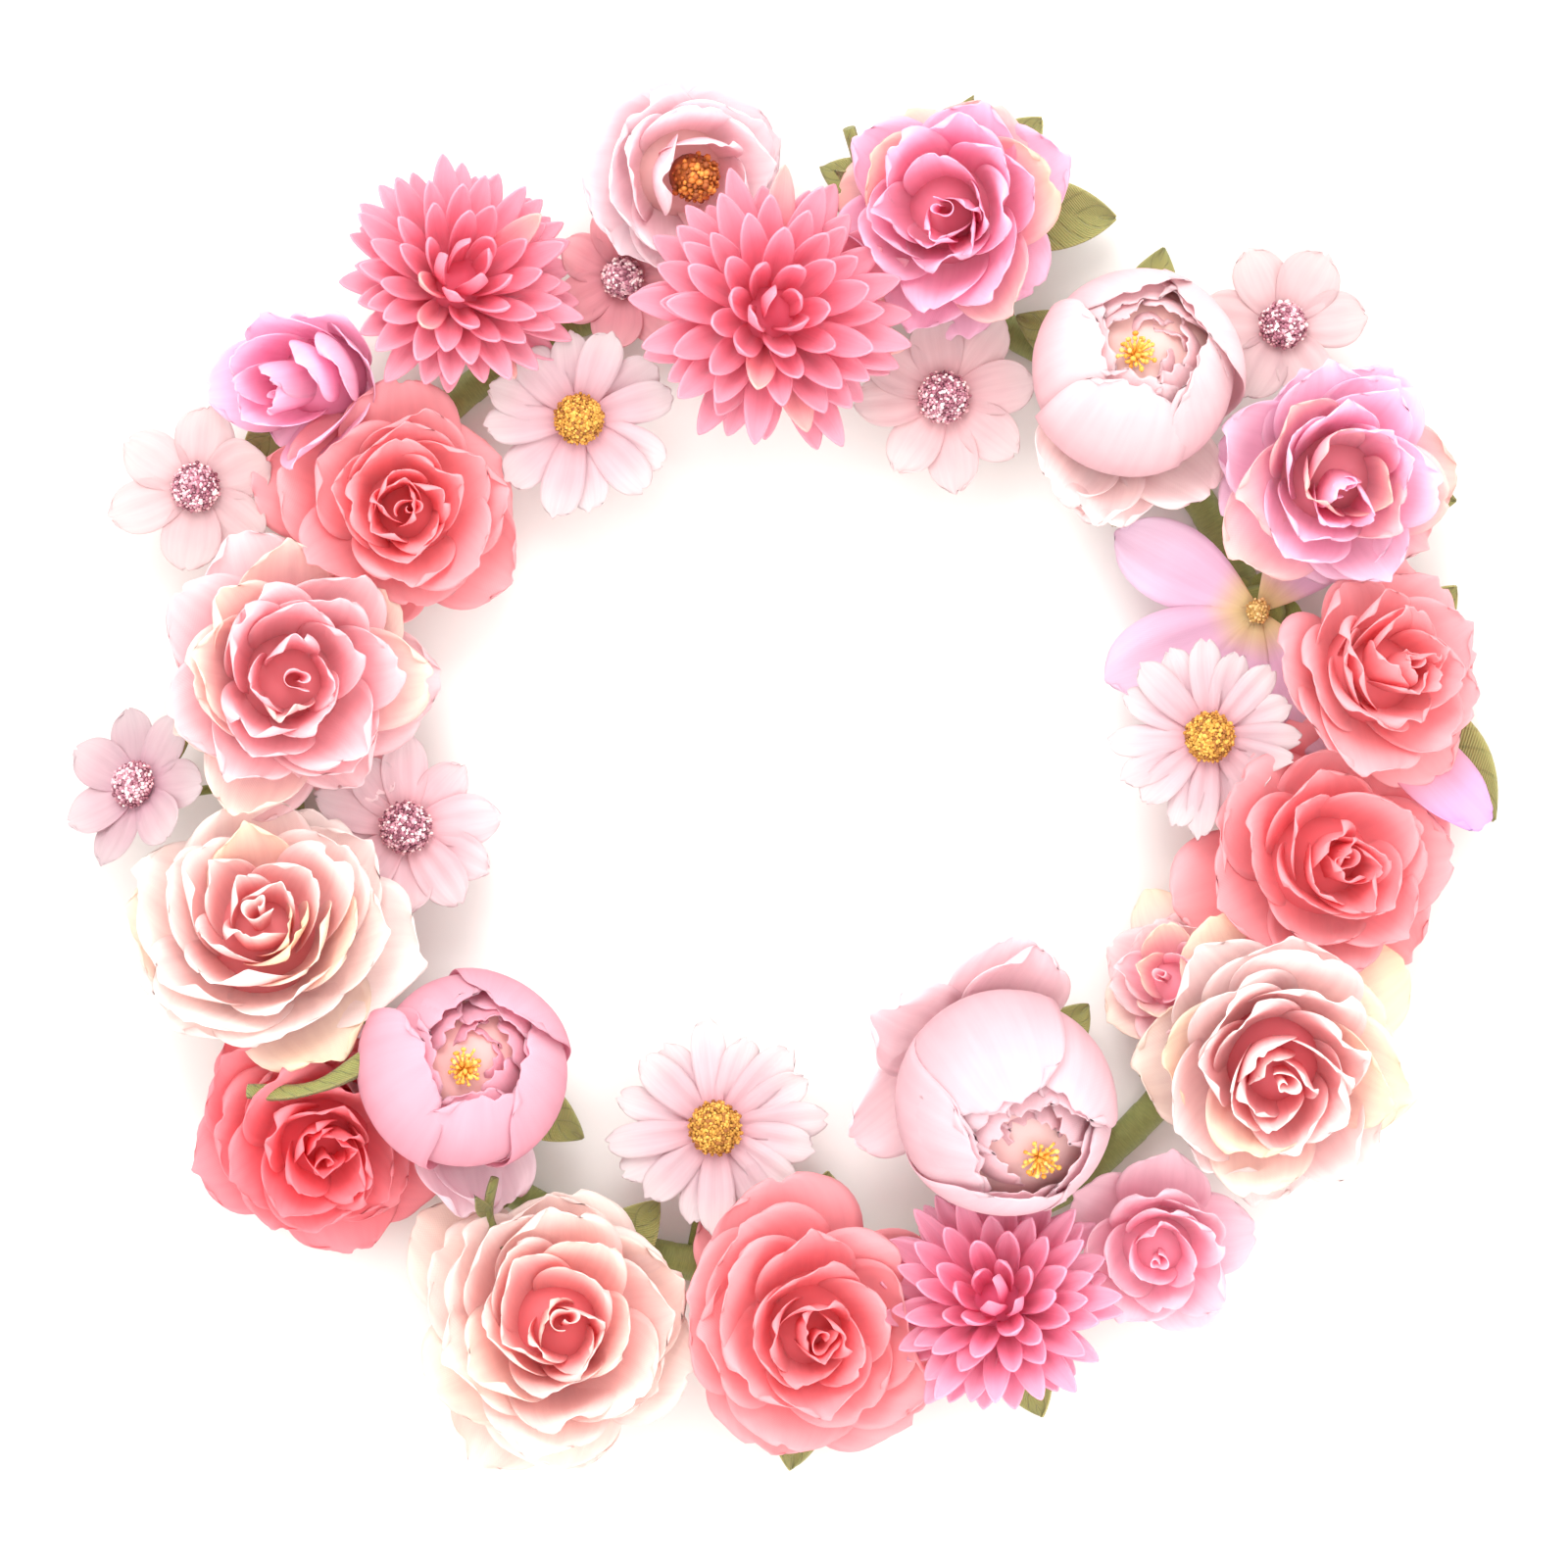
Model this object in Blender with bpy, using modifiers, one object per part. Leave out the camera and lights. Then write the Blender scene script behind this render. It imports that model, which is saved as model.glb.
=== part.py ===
"""A flower crown: fabric flower heads and leaf collars on wire stems, bound to a taped wire hoop.

The hoop lies flat. Every head stands on its own stem, whose foot is bound against the tape. Heads that
crowd each other are pared back to a plane between them, and leaf collars to a line between stems.
Lengths are in metres and angles in degrees, counted anticlockwise from +X as seen from above.
"""

import math
from collections import namedtuple

import bmesh
import bpy
from mathutils import Matrix, Vector

MM = 0.001

# The hoop: a wire ring in a sleeve of florist's tape, open at a slit where the tape starts and ends.
HOOP_RADIUS = 92.5 * MM
WIRE_RADIUS = 1.1 * MM
WIRE_CLEARANCE = 0.5 * MM
TAPE_WALL = 1.6 * MM
TAPE_RADIUS = WIRE_RADIUS + WIRE_CLEARANCE + TAPE_WALL
TAPE_SLIT = 1.0 * MM
SLIT_ANGLE = -90.0
HOOP_STEPS = 56
TAPE_SIDES = 8
WIRE_SIDES = 6

# Stems, and the collars of leaves threaded on them just above the tape.
STEM_RADIUS = 0.9 * MM
COLLAR_WIDTH = 1.7 * MM
LEAF_THICKNESS = 0.8 * MM
LEAF_HALF_SPREAD = 33.0
LEAF_STEPS = 6
LEAF_POINT = 0.8
ROUND_STEPS = 10
STEM_SIDES = 6

# Gaps between pieces that touch, and the distance under which two points count as one.
CLEARANCE = 0.3 * MM
COLLAR_CLEARANCE = 0.8 * MM
SAME_POINT = 0.002 * MM

# Hearts, as a share of their own flower's width.
HEART_SHARE = {"daisy": 0.26, "cosmos": 0.30, "lilac": 0.22, "peony": 0.25}
HEART_RISE = {"daisy": 0.09, "cosmos": 0.11, "lilac": 0.09, "peony": 0.16}

# name, kind, angle round the hoop, how far outside the wire, height of the middle above the table,
# width, depth, and how far the face leans and towards which heading.
Flower = namedtuple("Flower", "name kind angle out rise width depth lean heading")
FLOWERS = [
    Flower("dahlia_upper_left", "dahlia", 123, 16, 24, 44, 29, 22, 45),
    Flower("open_rose_top", "open_rose", 99, 19, 22, 37, 24, 24, -33),
    Flower("cosmos_small_top", "cosmos", 108, 4, 13, 26, 6, 8, 250),
    Flower("dahlia_top", "dahlia", 91, -8, 32, 50, 31, 12, 22),
    Flower("pink_rose_top", "rose", 74, 15, 27, 43, 33, 8, 200),
    Flower("cosmos_top", "cosmos", 67, -17, 17, 33, 6, 4, 250),
    Flower("peony_upper_right", "peony", 49, 5, 29, 41, 39, 22, 59),
    Flower("cosmos_upper_right", "cosmos", 42, 31, 19, 30, 6, 5, 40),
    Flower("pink_rose_right", "rose", 28, 22, 27, 43, 32, 10, -47),
    Flower("lilac_right", "lilac", 19, 0, 15, 50, 7, 6, 180),
    Flower("coral_rose_outer_right", "rose", 10, 20, 26, 40, 28, 28, 20),
    Flower("daisy_right", "daisy", 5, -14, 22, 35, 6, 4, 180),
    Flower("coral_rose_right", "rose", -9, 9, 23, 47, 27, 14, 0),
    Flower("small_rose_right", "rose", -28, -12, 17, 27, 17, 22, 150),
    Flower("cream_rose_lower_right", "rose", -31, 13, 27, 47, 34, 14, -70),
    Flower("peony_lower_right", "peony", -56, -20, 30, 45, 42, 27, -58),
    Flower("small_rose_lower_right", "rose", -52, 19, 20, 32, 23, 14, -100),
    Flower("dahlia_bottom", "dahlia", -68, 11, 25, 43, 29, 18, 117),
    Flower("coral_rose_bottom", "rose", -87, 10, 24, 50, 29, 12, -26),
    Flower("daisy_bottom", "daisy", -101, -26, 16, 38, 6, 3, 90),
    Flower("cream_rose_bottom", "rose", -112, 16, 25, 49, 31, 12, 50),
    Flower("coral_rose_lower_left", "rose", -141, 17, 21, 44, 26, 20, -60),
    Flower("peony_lower_left", "peony", -137, -13, 28, 40, 38, 19, 60),
    Flower("cream_rose_left", "rose", -164, 7, 26, 51, 32, 22, 95),
    Flower("cosmos_inner_left", "cosmos", -172, -22, 15, 33, 6, 4, 0),
    Flower("cosmos_outer_left", "cosmos", -179, 27, 17, 30, 6, 34, 150),
    Flower("blush_rose_left", "rose", 169, -1, 28, 49, 36, 10, 0),
    Flower("cosmos_upper_left", "cosmos", 154, 28, 17, 31, 6, 5, 180),
    Flower("bud_rose_upper_left", "bud", 141, 21, 23, 33, 31, 30, 205),
    Flower("coral_rose_upper_left", "rose", 145, -8, 25, 42, 29, 8, 0),
    Flower("daisy_upper_left", "daisy", 120, -17, 19, 35, 6, 4, 300),
]

# Each collar's leaves, as (heading, length from the stem).
LEAVES = {
    "pink_rose_top": [(160, 24), (74, 22), (47, 25), (2, 31)],
    "peony_upper_right": [(79, 24), (148, 23), (264, 27)],
    "pink_rose_right": [(-8, 23)],
    "coral_rose_outer_right": [(49, 20), (278, 20), (-54, 34)],
    "cream_rose_lower_right": [(187, 24), (6, 20)],
    "peony_lower_right": [(149, 22), (47, 23)],
    "dahlia_bottom": [(-68, 24), (156, 21)],
    "coral_rose_bottom": [(80, 28), (108, 23), (260, 26)],
    "cream_rose_bottom": [(54, 27), (112, 22)],
    "coral_rose_lower_left": [(65, 18), (130, 20)],
    "peony_lower_left": [(-31, 24), (-80, 26)],
    "cream_rose_left": [(266, 24)],
    "cosmos_outer_left": [(93, 13), (55, 15)],
    "bud_rose_upper_left": [(275, 18), (233, 17)],
}

# Colour and roughness of each flower's cloth, and of the rest.
PETAL_COLOURS = {
    "dahlia": (0.86, 0.26, 0.39),
    "open_rose": (0.90, 0.62, 0.68),
    "cosmos": (0.92, 0.64, 0.68),
    "daisy": (0.93, 0.62, 0.68),
    "lilac": (0.84, 0.58, 0.78),
    "peony": (0.91, 0.69, 0.75),
    "bud": (0.84, 0.27, 0.55),
    "pink_rose": (0.90, 0.36, 0.56),
    "coral_rose": (0.87, 0.25, 0.29),
    "cream_rose": (0.93, 0.69, 0.58),
    "blush_rose": (0.90, 0.45, 0.51),
    "small_rose": (0.89, 0.40, 0.55),
}
HEART_COLOURS = {
    "daisy": (0.66, 0.36, 0.05),
    "cosmos": (0.47, 0.21, 0.34),
    "lilac": (0.69, 0.43, 0.16),
    "peony": (0.92, 0.62, 0.13),
}
LEAF_COLOUR = (0.22, 0.23, 0.07)
TAPE_COLOUR = (0.16, 0.21, 0.07)
WIRE_COLOUR = (0.35, 0.35, 0.36)
CLOTH_ROUGHNESS = 0.85
WIRE_ROUGHNESS = 0.4
WIRE_METALLIC = 0.9
SHARP_ANGLE = 35.0

TAPE_TOP = 2 * TAPE_RADIUS * math.cos(math.pi / TAPE_SIDES)
HOOP_HEIGHT = TAPE_TOP / 2
LEAF_BASE = TAPE_TOP + CLEARANCE
HEAD_FLOOR = LEAF_BASE + LEAF_THICKNESS + CLEARANCE

# Rounds of (segments, rings) on the ball that each kind of head starts from.
BALLS = {
    "dahlia": (24, 8),
    "rose": (15, 7),
    "open_rose": (15, 7),
    "bud": (15, 7),
    "peony": (15, 10),
    "cosmos": (16, 6),
    "daisy": (28, 6),
    "lilac": (12, 6),
}
HEART_BALL = (8, 6)

# Forms of the heads, as shares of half their width or depth.
FLAT_RISE = 0.5
FLAT_NOTCH = 0.26
FLAT_DISH = 0.10
CALYX_DROP = 1.4
LOBES = 5
ROSE_LOBE = 0.20
ROSE_SWIRL = 4
ROSE_WAIST = 0.34
ROSE_HOLLOW = 0.30
DAHLIA_SHORT = 0.80
DAHLIA_WAIST = 0.30
PEONY_LAP = 0.05
PEONY_SWIRL = 3
PEONY_OPENING = 0.4
PEONY_POCKET = 0.42


def clear_scene():
    for obj in list(bpy.data.objects):
        bpy.data.objects.remove(obj, do_unlink=True)


def cloth(name, colour, roughness=CLOTH_ROUGHNESS, metallic=0.0):
    """A plain Principled material."""
    material = bpy.data.materials.new(name)
    material.use_nodes = True
    shader = material.node_tree.nodes["Principled BSDF"]
    shader.inputs["Base Color"].default_value = (*colour, 1.0)
    shader.inputs["Roughness"].default_value = roughness
    shader.inputs["Metallic"].default_value = metallic
    return material


def polar(angle, radius, height=0.0):
    turn = math.radians(angle)
    return Vector((radius * math.cos(turn), radius * math.sin(turn), height))


def centre_of(flower):
    return polar(flower.angle, HOOP_RADIUS + flower.out * MM, flower.rise * MM)


def facing(flower):
    """The frame of a head: its middle, with +Z leaning towards its heading."""
    lean = Matrix.Rotation(math.radians(flower.lean), 4, "Y")
    turn = Matrix.Rotation(math.radians(flower.heading), 4, "Z")
    back = Matrix.Rotation(math.radians(-flower.heading), 4, "Z")
    return Matrix.Translation(centre_of(flower)) @ turn @ lean @ back


def reach_of(flower):
    """The radius of a ball round the head."""
    return max(flower.width, flower.depth) * MM / 2


def wave(turn):
    """0 at the start of each turn and 1 half way round."""
    return 0.5 - 0.5 * math.cos(turn)


def flat_point(point, turn, flower):
    """A dish of petals with notches between them, over a small calyx."""
    petals = BALLS[flower.kind][0] / 2
    out = math.hypot(point.x, point.y)
    radius = flower.width * MM / 2 * out * (1 - FLAT_NOTCH * out**2 * wave(petals * turn))
    rise = FLAT_RISE
    if point.z <= 0:
        rise += CALYX_DROP * (1 - out) ** 2
    return radius, flower.depth * MM / 2 * rise * point.z + FLAT_DISH * radius * out**2


def rose_point(point, turn, flower):
    """A full head of swirled lobes, hollowed at its heart and drawn in at its base."""
    out = math.hypot(point.x, point.y)
    size = 1 - ROSE_LOBE * out * wave(LOBES * turn + ROSE_SWIRL * point.z)
    waist = 1 - ROSE_WAIST * max(0.0, -point.z) ** 1.5
    hollow = ROSE_HOLLOW * max(0.0, point.z) ** 8
    return flower.width * MM / 2 * out * size * waist, flower.depth * MM / 2 * (point.z * size - hollow)


def dahlia_point(point, turn, flower):
    """A dome of pointed petals in staggered rings."""
    segments, rings = BALLS["dahlia"]
    ring = round(math.acos(max(-1.0, min(1.0, point.z))) / math.pi * rings)
    step = round(turn / math.tau * segments)
    spike = 1.0 if (ring + step) % 2 == 0 else DAHLIA_SHORT
    out = math.hypot(point.x, point.y)
    waist = 1 - DAHLIA_WAIST * max(0.0, -point.z)
    return flower.width * MM / 2 * out * spike * waist, flower.depth * MM / 2 * point.z * (0.5 + 0.5 * spike)


def peony_point(point, turn, flower):
    """A closed globe whose top petals stand open round a flat-bottomed pocket."""
    out = math.hypot(point.x, point.y)
    lap = 1 - PEONY_LAP * out * wave(LOBES * turn + PEONY_SWIRL * point.z)
    height = point.z * lap
    if point.z > 0 and out < PEONY_OPENING:
        height = PEONY_POCKET
    return flower.width * MM / 2 * out * lap, flower.depth * MM / 2 * height


SHAPES = {
    "dahlia": dahlia_point,
    "rose": rose_point,
    "open_rose": rose_point,
    "bud": rose_point,
    "peony": peony_point,
    "cosmos": flat_point,
    "daisy": flat_point,
    "lilac": flat_point,
}


def pare(bm, point, normal):
    """Cuts off what lies beyond a plane, and closes the cut."""
    parts = bm.verts[:] + bm.edges[:] + bm.faces[:]
    cut = bmesh.ops.bisect_plane(
        bm, geom=parts, dist=SAME_POINT, plane_co=point, plane_no=normal, clear_outer=True
    )
    rim = [item for item in cut["geom_cut"] if isinstance(item, bmesh.types.BMEdge)]
    rim = [edge for edge in rim if edge.is_boundary]
    if rim:
        bmesh.ops.triangle_fill(bm, edges=rim, use_beauty=True, use_dissolve=False, normal=normal)


def neighbour_planes(flower):
    """Planes between this head and each one that crowds it, each set back by half the clearance."""
    middle = centre_of(flower)
    for other in FLOWERS:
        between = centre_of(other) - middle
        reaches = reach_of(flower) + reach_of(other)
        if other is flower or between.length > reaches + CLEARANCE:
            continue
        share = between.length * reach_of(flower) / reaches - CLEARANCE / 2
        yield middle + between.normalized() * share, between.normalized()


def pare_to_place(bm, flower):
    """Keeps a head, or its heart, in its own place: off its neighbours and above the leaves."""
    for point, normal in neighbour_planes(flower):
        pare(bm, point, normal)
    pare(bm, Vector((0, 0, HEAD_FLOOR)), Vector((0, 0, -1)))


def finished(bm, name):
    """A mesh from bm, with doubles merged and faces turned out."""
    bmesh.ops.remove_doubles(bm, verts=bm.verts[:], dist=SAME_POINT)
    bmesh.ops.dissolve_degenerate(bm, dist=SAME_POINT, edges=bm.edges[:])
    bmesh.ops.recalc_face_normals(bm, faces=bm.faces[:])
    mesh = bpy.data.meshes.new(name)
    bm.to_mesh(mesh)
    bm.free()
    return mesh


def place(name, mesh, material, parent, frame=None):
    """Links a mesh made in the crown's frame as an object that stands in its own frame."""
    frame = frame or Matrix.Identity(4)
    mesh.transform(frame.inverted())
    mesh.materials.clear()
    mesh.materials.append(material)
    mesh.shade_smooth()
    mesh.set_sharp_from_angle(angle=math.radians(SHARP_ANGLE))
    obj = bpy.data.objects.new(name, mesh)
    obj.parent = parent
    obj.matrix_local = frame
    parent.users_collection[0].objects.link(obj)
    return obj


def mesh_of(obj):
    """What an object's modifiers or its bevel make of it, as a bmesh. The object is removed."""
    graph = bpy.context.evaluated_depsgraph_get()
    mesh = bpy.data.meshes.new_from_object(obj.evaluated_get(graph))
    mesh.transform(obj.matrix_world)
    bpy.data.objects.remove(obj, do_unlink=True)
    bm = bmesh.new()
    bm.from_mesh(mesh)
    bpy.data.meshes.remove(mesh)
    return bm


def tube(name, points, radius, sides, capped=True, tilt=0.0):
    """A curve object through the points, bevelled to a tube of that many sides."""
    curve = bpy.data.curves.new(name, "CURVE")
    curve.dimensions = "3D"
    curve.bevel_depth = radius
    curve.bevel_resolution = (sides - 4) // 2
    curve.use_fill_caps = capped
    line = curve.splines.new("POLY")
    line.points.add(len(points) - 1)
    for spot, point in zip(line.points, points):
        spot.co = (*point, 1)
        spot.tilt = tilt
    obj = bpy.data.objects.new(name, curve)
    bpy.context.scene.collection.objects.link(obj)
    return obj


def hoop_wire(parent):
    bpy.ops.mesh.primitive_torus_add(
        major_radius=HOOP_RADIUS,
        minor_radius=WIRE_RADIUS,
        major_segments=HOOP_STEPS,
        minor_segments=WIRE_SIDES,
        location=(0, 0, HOOP_HEIGHT),
    )
    bpy.context.view_layer.update()
    mesh = finished(mesh_of(bpy.context.object), "hoop_wire")
    place("hoop_wire", mesh, cloth("wire", WIRE_COLOUR, WIRE_ROUGHNESS, WIRE_METALLIC), parent)


def hoop_tape(parent):
    """The sleeve: a tube with flats above and below, walled inwards, with its two ends at the slit."""
    half_slit = math.degrees(TAPE_SLIT / 2 / HOOP_RADIUS)
    start = SLIT_ANGLE + half_slit
    sweep = (360 - 2 * half_slit) / HOOP_STEPS
    route = [polar(start + step * sweep, HOOP_RADIUS, HOOP_HEIGHT) for step in range(HOOP_STEPS + 1)]
    sleeve = tube("hoop_tape", route, TAPE_RADIUS, TAPE_SIDES, capped=False, tilt=math.pi / TAPE_SIDES)
    bm = mesh_of(sleeve)
    bmesh.ops.remove_doubles(bm, verts=bm.verts[:], dist=SAME_POINT)
    bmesh.ops.recalc_face_normals(bm, faces=bm.faces[:])
    shell = bpy.data.meshes.new("hoop_tape")
    bm.to_mesh(shell)
    bm.free()
    obj = place("hoop_tape", shell, cloth("tape", TAPE_COLOUR), parent)
    wall = obj.modifiers.new("tape wall", "SOLIDIFY")
    wall.thickness = TAPE_WALL
    wall.offset = -1


def stem_route(flower):
    """From the tape's surface, out level with the wire, then up into the head; or straight up when near."""
    middle = centre_of(flower)
    wire = polar(flower.angle, HOOP_RADIUS, HOOP_HEIGHT)
    foot_gap = TAPE_RADIUS + CLEARANCE
    near = abs(flower.out * MM) < 2 * foot_gap
    if near:
        towards = (middle - wire).normalized()
        return [wire + towards * foot_gap, middle]
    side = math.copysign(1, flower.out)
    foot = polar(flower.angle, HOOP_RADIUS + side * foot_gap, HOOP_HEIGHT)
    knee = Vector((middle.x, middle.y, HOOP_HEIGHT))
    bend = 2 * STEM_RADIUS
    before = knee - (knee - foot).normalized() * bend
    return [foot, before, knee + Vector((0, 0, bend)), middle]


def stem_at_leaves(flower):
    """Where the stem passes the level of the leaf collars."""
    *_, low, high = stem_route(flower)
    share = (LEAF_BASE + LEAF_THICKNESS / 2 - low.z) / (high.z - low.z)
    return low.lerp(high, share)


def head_ball(flower):
    """The head's own shape, in the crown's frame."""
    segments, rings = BALLS[flower.kind]
    bm = bmesh.new()
    bmesh.ops.create_uvsphere(bm, u_segments=segments, v_segments=rings, radius=1)
    for vert in bm.verts:
        turn = math.atan2(vert.co.y, vert.co.x)
        radius, height = SHAPES[flower.kind](vert.co, turn, flower)
        vert.co = polar(math.degrees(turn), radius, height)
    bm.transform(facing(flower))
    return bm


def head(flower, parent):
    """A pared head joined to its stem."""
    bm = head_ball(flower)
    pare_to_place(bm, flower)
    mesh = finished(bm, flower.name)
    body = bpy.data.objects.new(flower.name + "_body", mesh)
    bpy.context.scene.collection.objects.link(body)

    stem_bm = mesh_of(tube("stem", stem_route(flower), STEM_RADIUS, STEM_SIDES))
    stem = bpy.data.objects.new("stem", finished(stem_bm, "stem"))
    bpy.context.scene.collection.objects.link(stem)
    join = body.modifiers.new("stem", "BOOLEAN")
    join.operation = "UNION"
    join.object = stem
    joined = finished(mesh_of(body), flower.name)
    bpy.data.objects.remove(stem, do_unlink=True)

    colour = PETAL_COLOURS.get(flower.kind) or PETAL_COLOURS["_".join(flower.name.split("_")[:2])]
    place(flower.name, joined, cloth(flower.name + "_cloth", colour), parent, facing(flower))


def heart(flower, parent):
    """A dome that sits on the head's face, or in a peony's pocket."""
    radius = HEART_SHARE[flower.kind] * flower.width * MM / 2
    rise = HEART_RISE[flower.kind] * flower.width * MM
    face = PEONY_POCKET if flower.kind == "peony" else FLAT_RISE
    seat = flower.depth * MM / 2 * face + CLEARANCE
    segments, rings = HEART_BALL
    bm = bmesh.new()
    bmesh.ops.create_uvsphere(bm, u_segments=segments, v_segments=rings, radius=1)
    pare(bm, Vector((0, 0, 0)), Vector((0, 0, -1)))
    bm.transform(Matrix.LocRotScale(Vector((0, 0, seat)), None, Vector((radius, radius, rise))))
    bm.transform(facing(flower))
    pare_to_place(bm, flower)
    name = flower.name + "_heart"
    place(name, finished(bm, name), cloth(name, HEART_COLOURS[flower.kind]), parent, facing(flower))


def leaf_outline(leaves):
    """A round collar with a pointed leaf at each heading. Two leaves that meet share the longer edge."""
    offsets = [LEAF_HALF_SPREAD * (2 * step / LEAF_STEPS - 1) for step in range(LEAF_STEPS + 1)]
    angles = {round((heading + offset) % 360) for heading, _ in leaves for offset in offsets}
    angles |= {round(360 * step / ROUND_STEPS) for step in range(ROUND_STEPS)}
    for angle in sorted(angles):
        radius = STEM_RADIUS + COLLAR_CLEARANCE + COLLAR_WIDTH
        for heading, length in leaves:
            off = abs((angle - heading + 180) % 360 - 180) / LEAF_HALF_SPREAD
            radius = max(radius, length * MM * (1 - off) ** LEAF_POINT if off < 1 else 0)
        yield polar(angle, radius)


def leaf_collar(flower, parent):
    """A flat collar of leaves with a hole for its stem, kept on this side of the other stems."""
    hole = STEM_RADIUS + COLLAR_CLEARANCE
    rings = [
        list(leaf_outline(LEAVES[flower.name])),
        [polar(360 * step / ROUND_STEPS, hole) for step in range(ROUND_STEPS)],
    ]
    curve = bpy.data.curves.new("leaves", "CURVE")
    curve.dimensions = "2D"
    curve.fill_mode = "BOTH"
    curve.extrude = LEAF_THICKNESS / 2
    for ring in rings:
        line = curve.splines.new("POLY")
        line.points.add(len(ring) - 1)
        line.use_cyclic_u = True
        for spot, point in zip(line.points, ring):
            spot.co = (*point, 1)
    sheet = bpy.data.objects.new("leaves", curve)
    bpy.context.scene.collection.objects.link(sheet)
    bm = mesh_of(sheet)
    bmesh.ops.remove_doubles(bm, verts=bm.verts[:], dist=SAME_POINT)

    middle = stem_at_leaves(flower)
    bm.transform(Matrix.Translation(middle))
    longest = max(length for _, length in LEAVES[flower.name]) * MM
    for other in FLOWERS:
        between = stem_at_leaves(other) - middle
        between.z = 0
        if other is not flower and between.length < 2 * longest + CLEARANCE:
            halfway = between.length / 2 - CLEARANCE / 2
            pare(bm, middle + between.normalized() * halfway, between.normalized())
    name = flower.name + "_leaves"
    place(name, finished(bm, name), cloth(name, LEAF_COLOUR), parent, Matrix.Translation(middle))


def centre_on_floor(parent):
    """Moves the crown so that its box stands centred on the origin."""
    bpy.context.view_layer.update()
    points = [piece.matrix_world @ vert.co for piece in parent.children for vert in piece.data.vertices]
    low = Vector([min(point[axis] for point in points) for axis in range(3)])
    high = Vector([max(point[axis] for point in points) for axis in range(3)])
    parent.location = (-(low.x + high.x) / 2, -(low.y + high.y) / 2, -low.z)


clear_scene()
pieces = bpy.data.collections.new("flower_crown")
bpy.context.scene.collection.children.link(pieces)
crown = bpy.data.objects.new("crown", None)
pieces.objects.link(crown)
hoop_wire(crown)
hoop_tape(crown)
for bloom in FLOWERS:
    head(bloom, crown)
    if bloom.kind in HEART_SHARE:
        heart(bloom, crown)
    if bloom.name in LEAVES:
        leaf_collar(bloom, crown)
centre_on_floor(crown)
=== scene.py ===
import math

import bpy
import numpy as np
from mathutils import Matrix, Vector


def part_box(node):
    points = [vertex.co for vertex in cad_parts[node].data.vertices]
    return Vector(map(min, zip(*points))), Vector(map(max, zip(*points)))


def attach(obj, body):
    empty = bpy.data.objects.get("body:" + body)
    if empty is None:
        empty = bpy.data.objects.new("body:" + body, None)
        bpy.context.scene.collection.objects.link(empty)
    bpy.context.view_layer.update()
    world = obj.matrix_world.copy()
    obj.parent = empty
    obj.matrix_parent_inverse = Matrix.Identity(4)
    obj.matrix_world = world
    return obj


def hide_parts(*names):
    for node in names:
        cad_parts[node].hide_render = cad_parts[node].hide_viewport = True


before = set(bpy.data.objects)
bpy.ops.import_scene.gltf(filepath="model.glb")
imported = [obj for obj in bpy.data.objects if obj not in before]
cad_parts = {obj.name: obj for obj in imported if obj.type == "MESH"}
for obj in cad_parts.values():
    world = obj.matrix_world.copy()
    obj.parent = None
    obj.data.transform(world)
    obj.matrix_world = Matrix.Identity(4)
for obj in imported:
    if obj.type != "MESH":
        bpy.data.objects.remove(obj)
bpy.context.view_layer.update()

# Flower crown, lying flat: cloth flower heads on wire stems, bound round a taped hoop.
# Lengths are in millimetres in the dictionaries and in metres in the meshes.

scene = bpy.context.scene
mm = 0.001
golden = math.radians(137.508)


view = {
    "distance": 1.5,        # above the floor
    "width": 0.288,         # of what is seen, at the height of the flowers
    "aimHeight": 0.022,
    "aimDown": 0.0018,      # how far below the hoop's middle the frame is centred
}

hoopLow, hoopHigh = (Vector(corner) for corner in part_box("hoop_wire"))
hoopMiddle = (hoopLow + hoopHigh) / 2
hoopRadius = (hoopHigh.x - hoopLow.x) / 2 - 1.1 * mm        # to the middle of the wire
ringMiddle = np.array([hoopMiddle.x, hoopMiddle.y, 0.0])


def makeCamera():
    lens = bpy.data.cameras.new("camera")
    lens.sensor_width = 36
    lens.lens = 36 * (view["distance"] - view["aimHeight"]) / view["width"]
    camera = bpy.data.objects.new("camera", lens)
    camera.location = (hoopMiddle.x, hoopMiddle.y - view["aimDown"], view["distance"])
    scene.collection.objects.link(camera)
    scene.camera = camera


light = {
    "bounces": 8,
    "world": 2.3,
    "worldColour": (1.0, 0.985, 0.97, 1),
    "key": 7.0,             # watts
    "keySize": 0.55,
    "keyPlace": (-0.12, 0.62, 0.85),
    "fill": 1.5,
    "fillSize": 0.9,
    "fillPlace": (0.45, -0.55, 0.8),
}


floorCard = {"reach": 3.0, "below": 0.3}      # metres each way, and mm below the tape


def areaLight(name, power, size, place):
    lamp = bpy.data.lights.new(name, "AREA")
    lamp.energy = power
    lamp.shape = "DISK"
    lamp.size = size
    holder = bpy.data.objects.new(name, lamp)
    holder.location = place
    holder.rotation_euler = (-Vector(place)).to_track_quat("-Z", "Y").to_euler()
    scene.collection.objects.link(holder)


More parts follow.
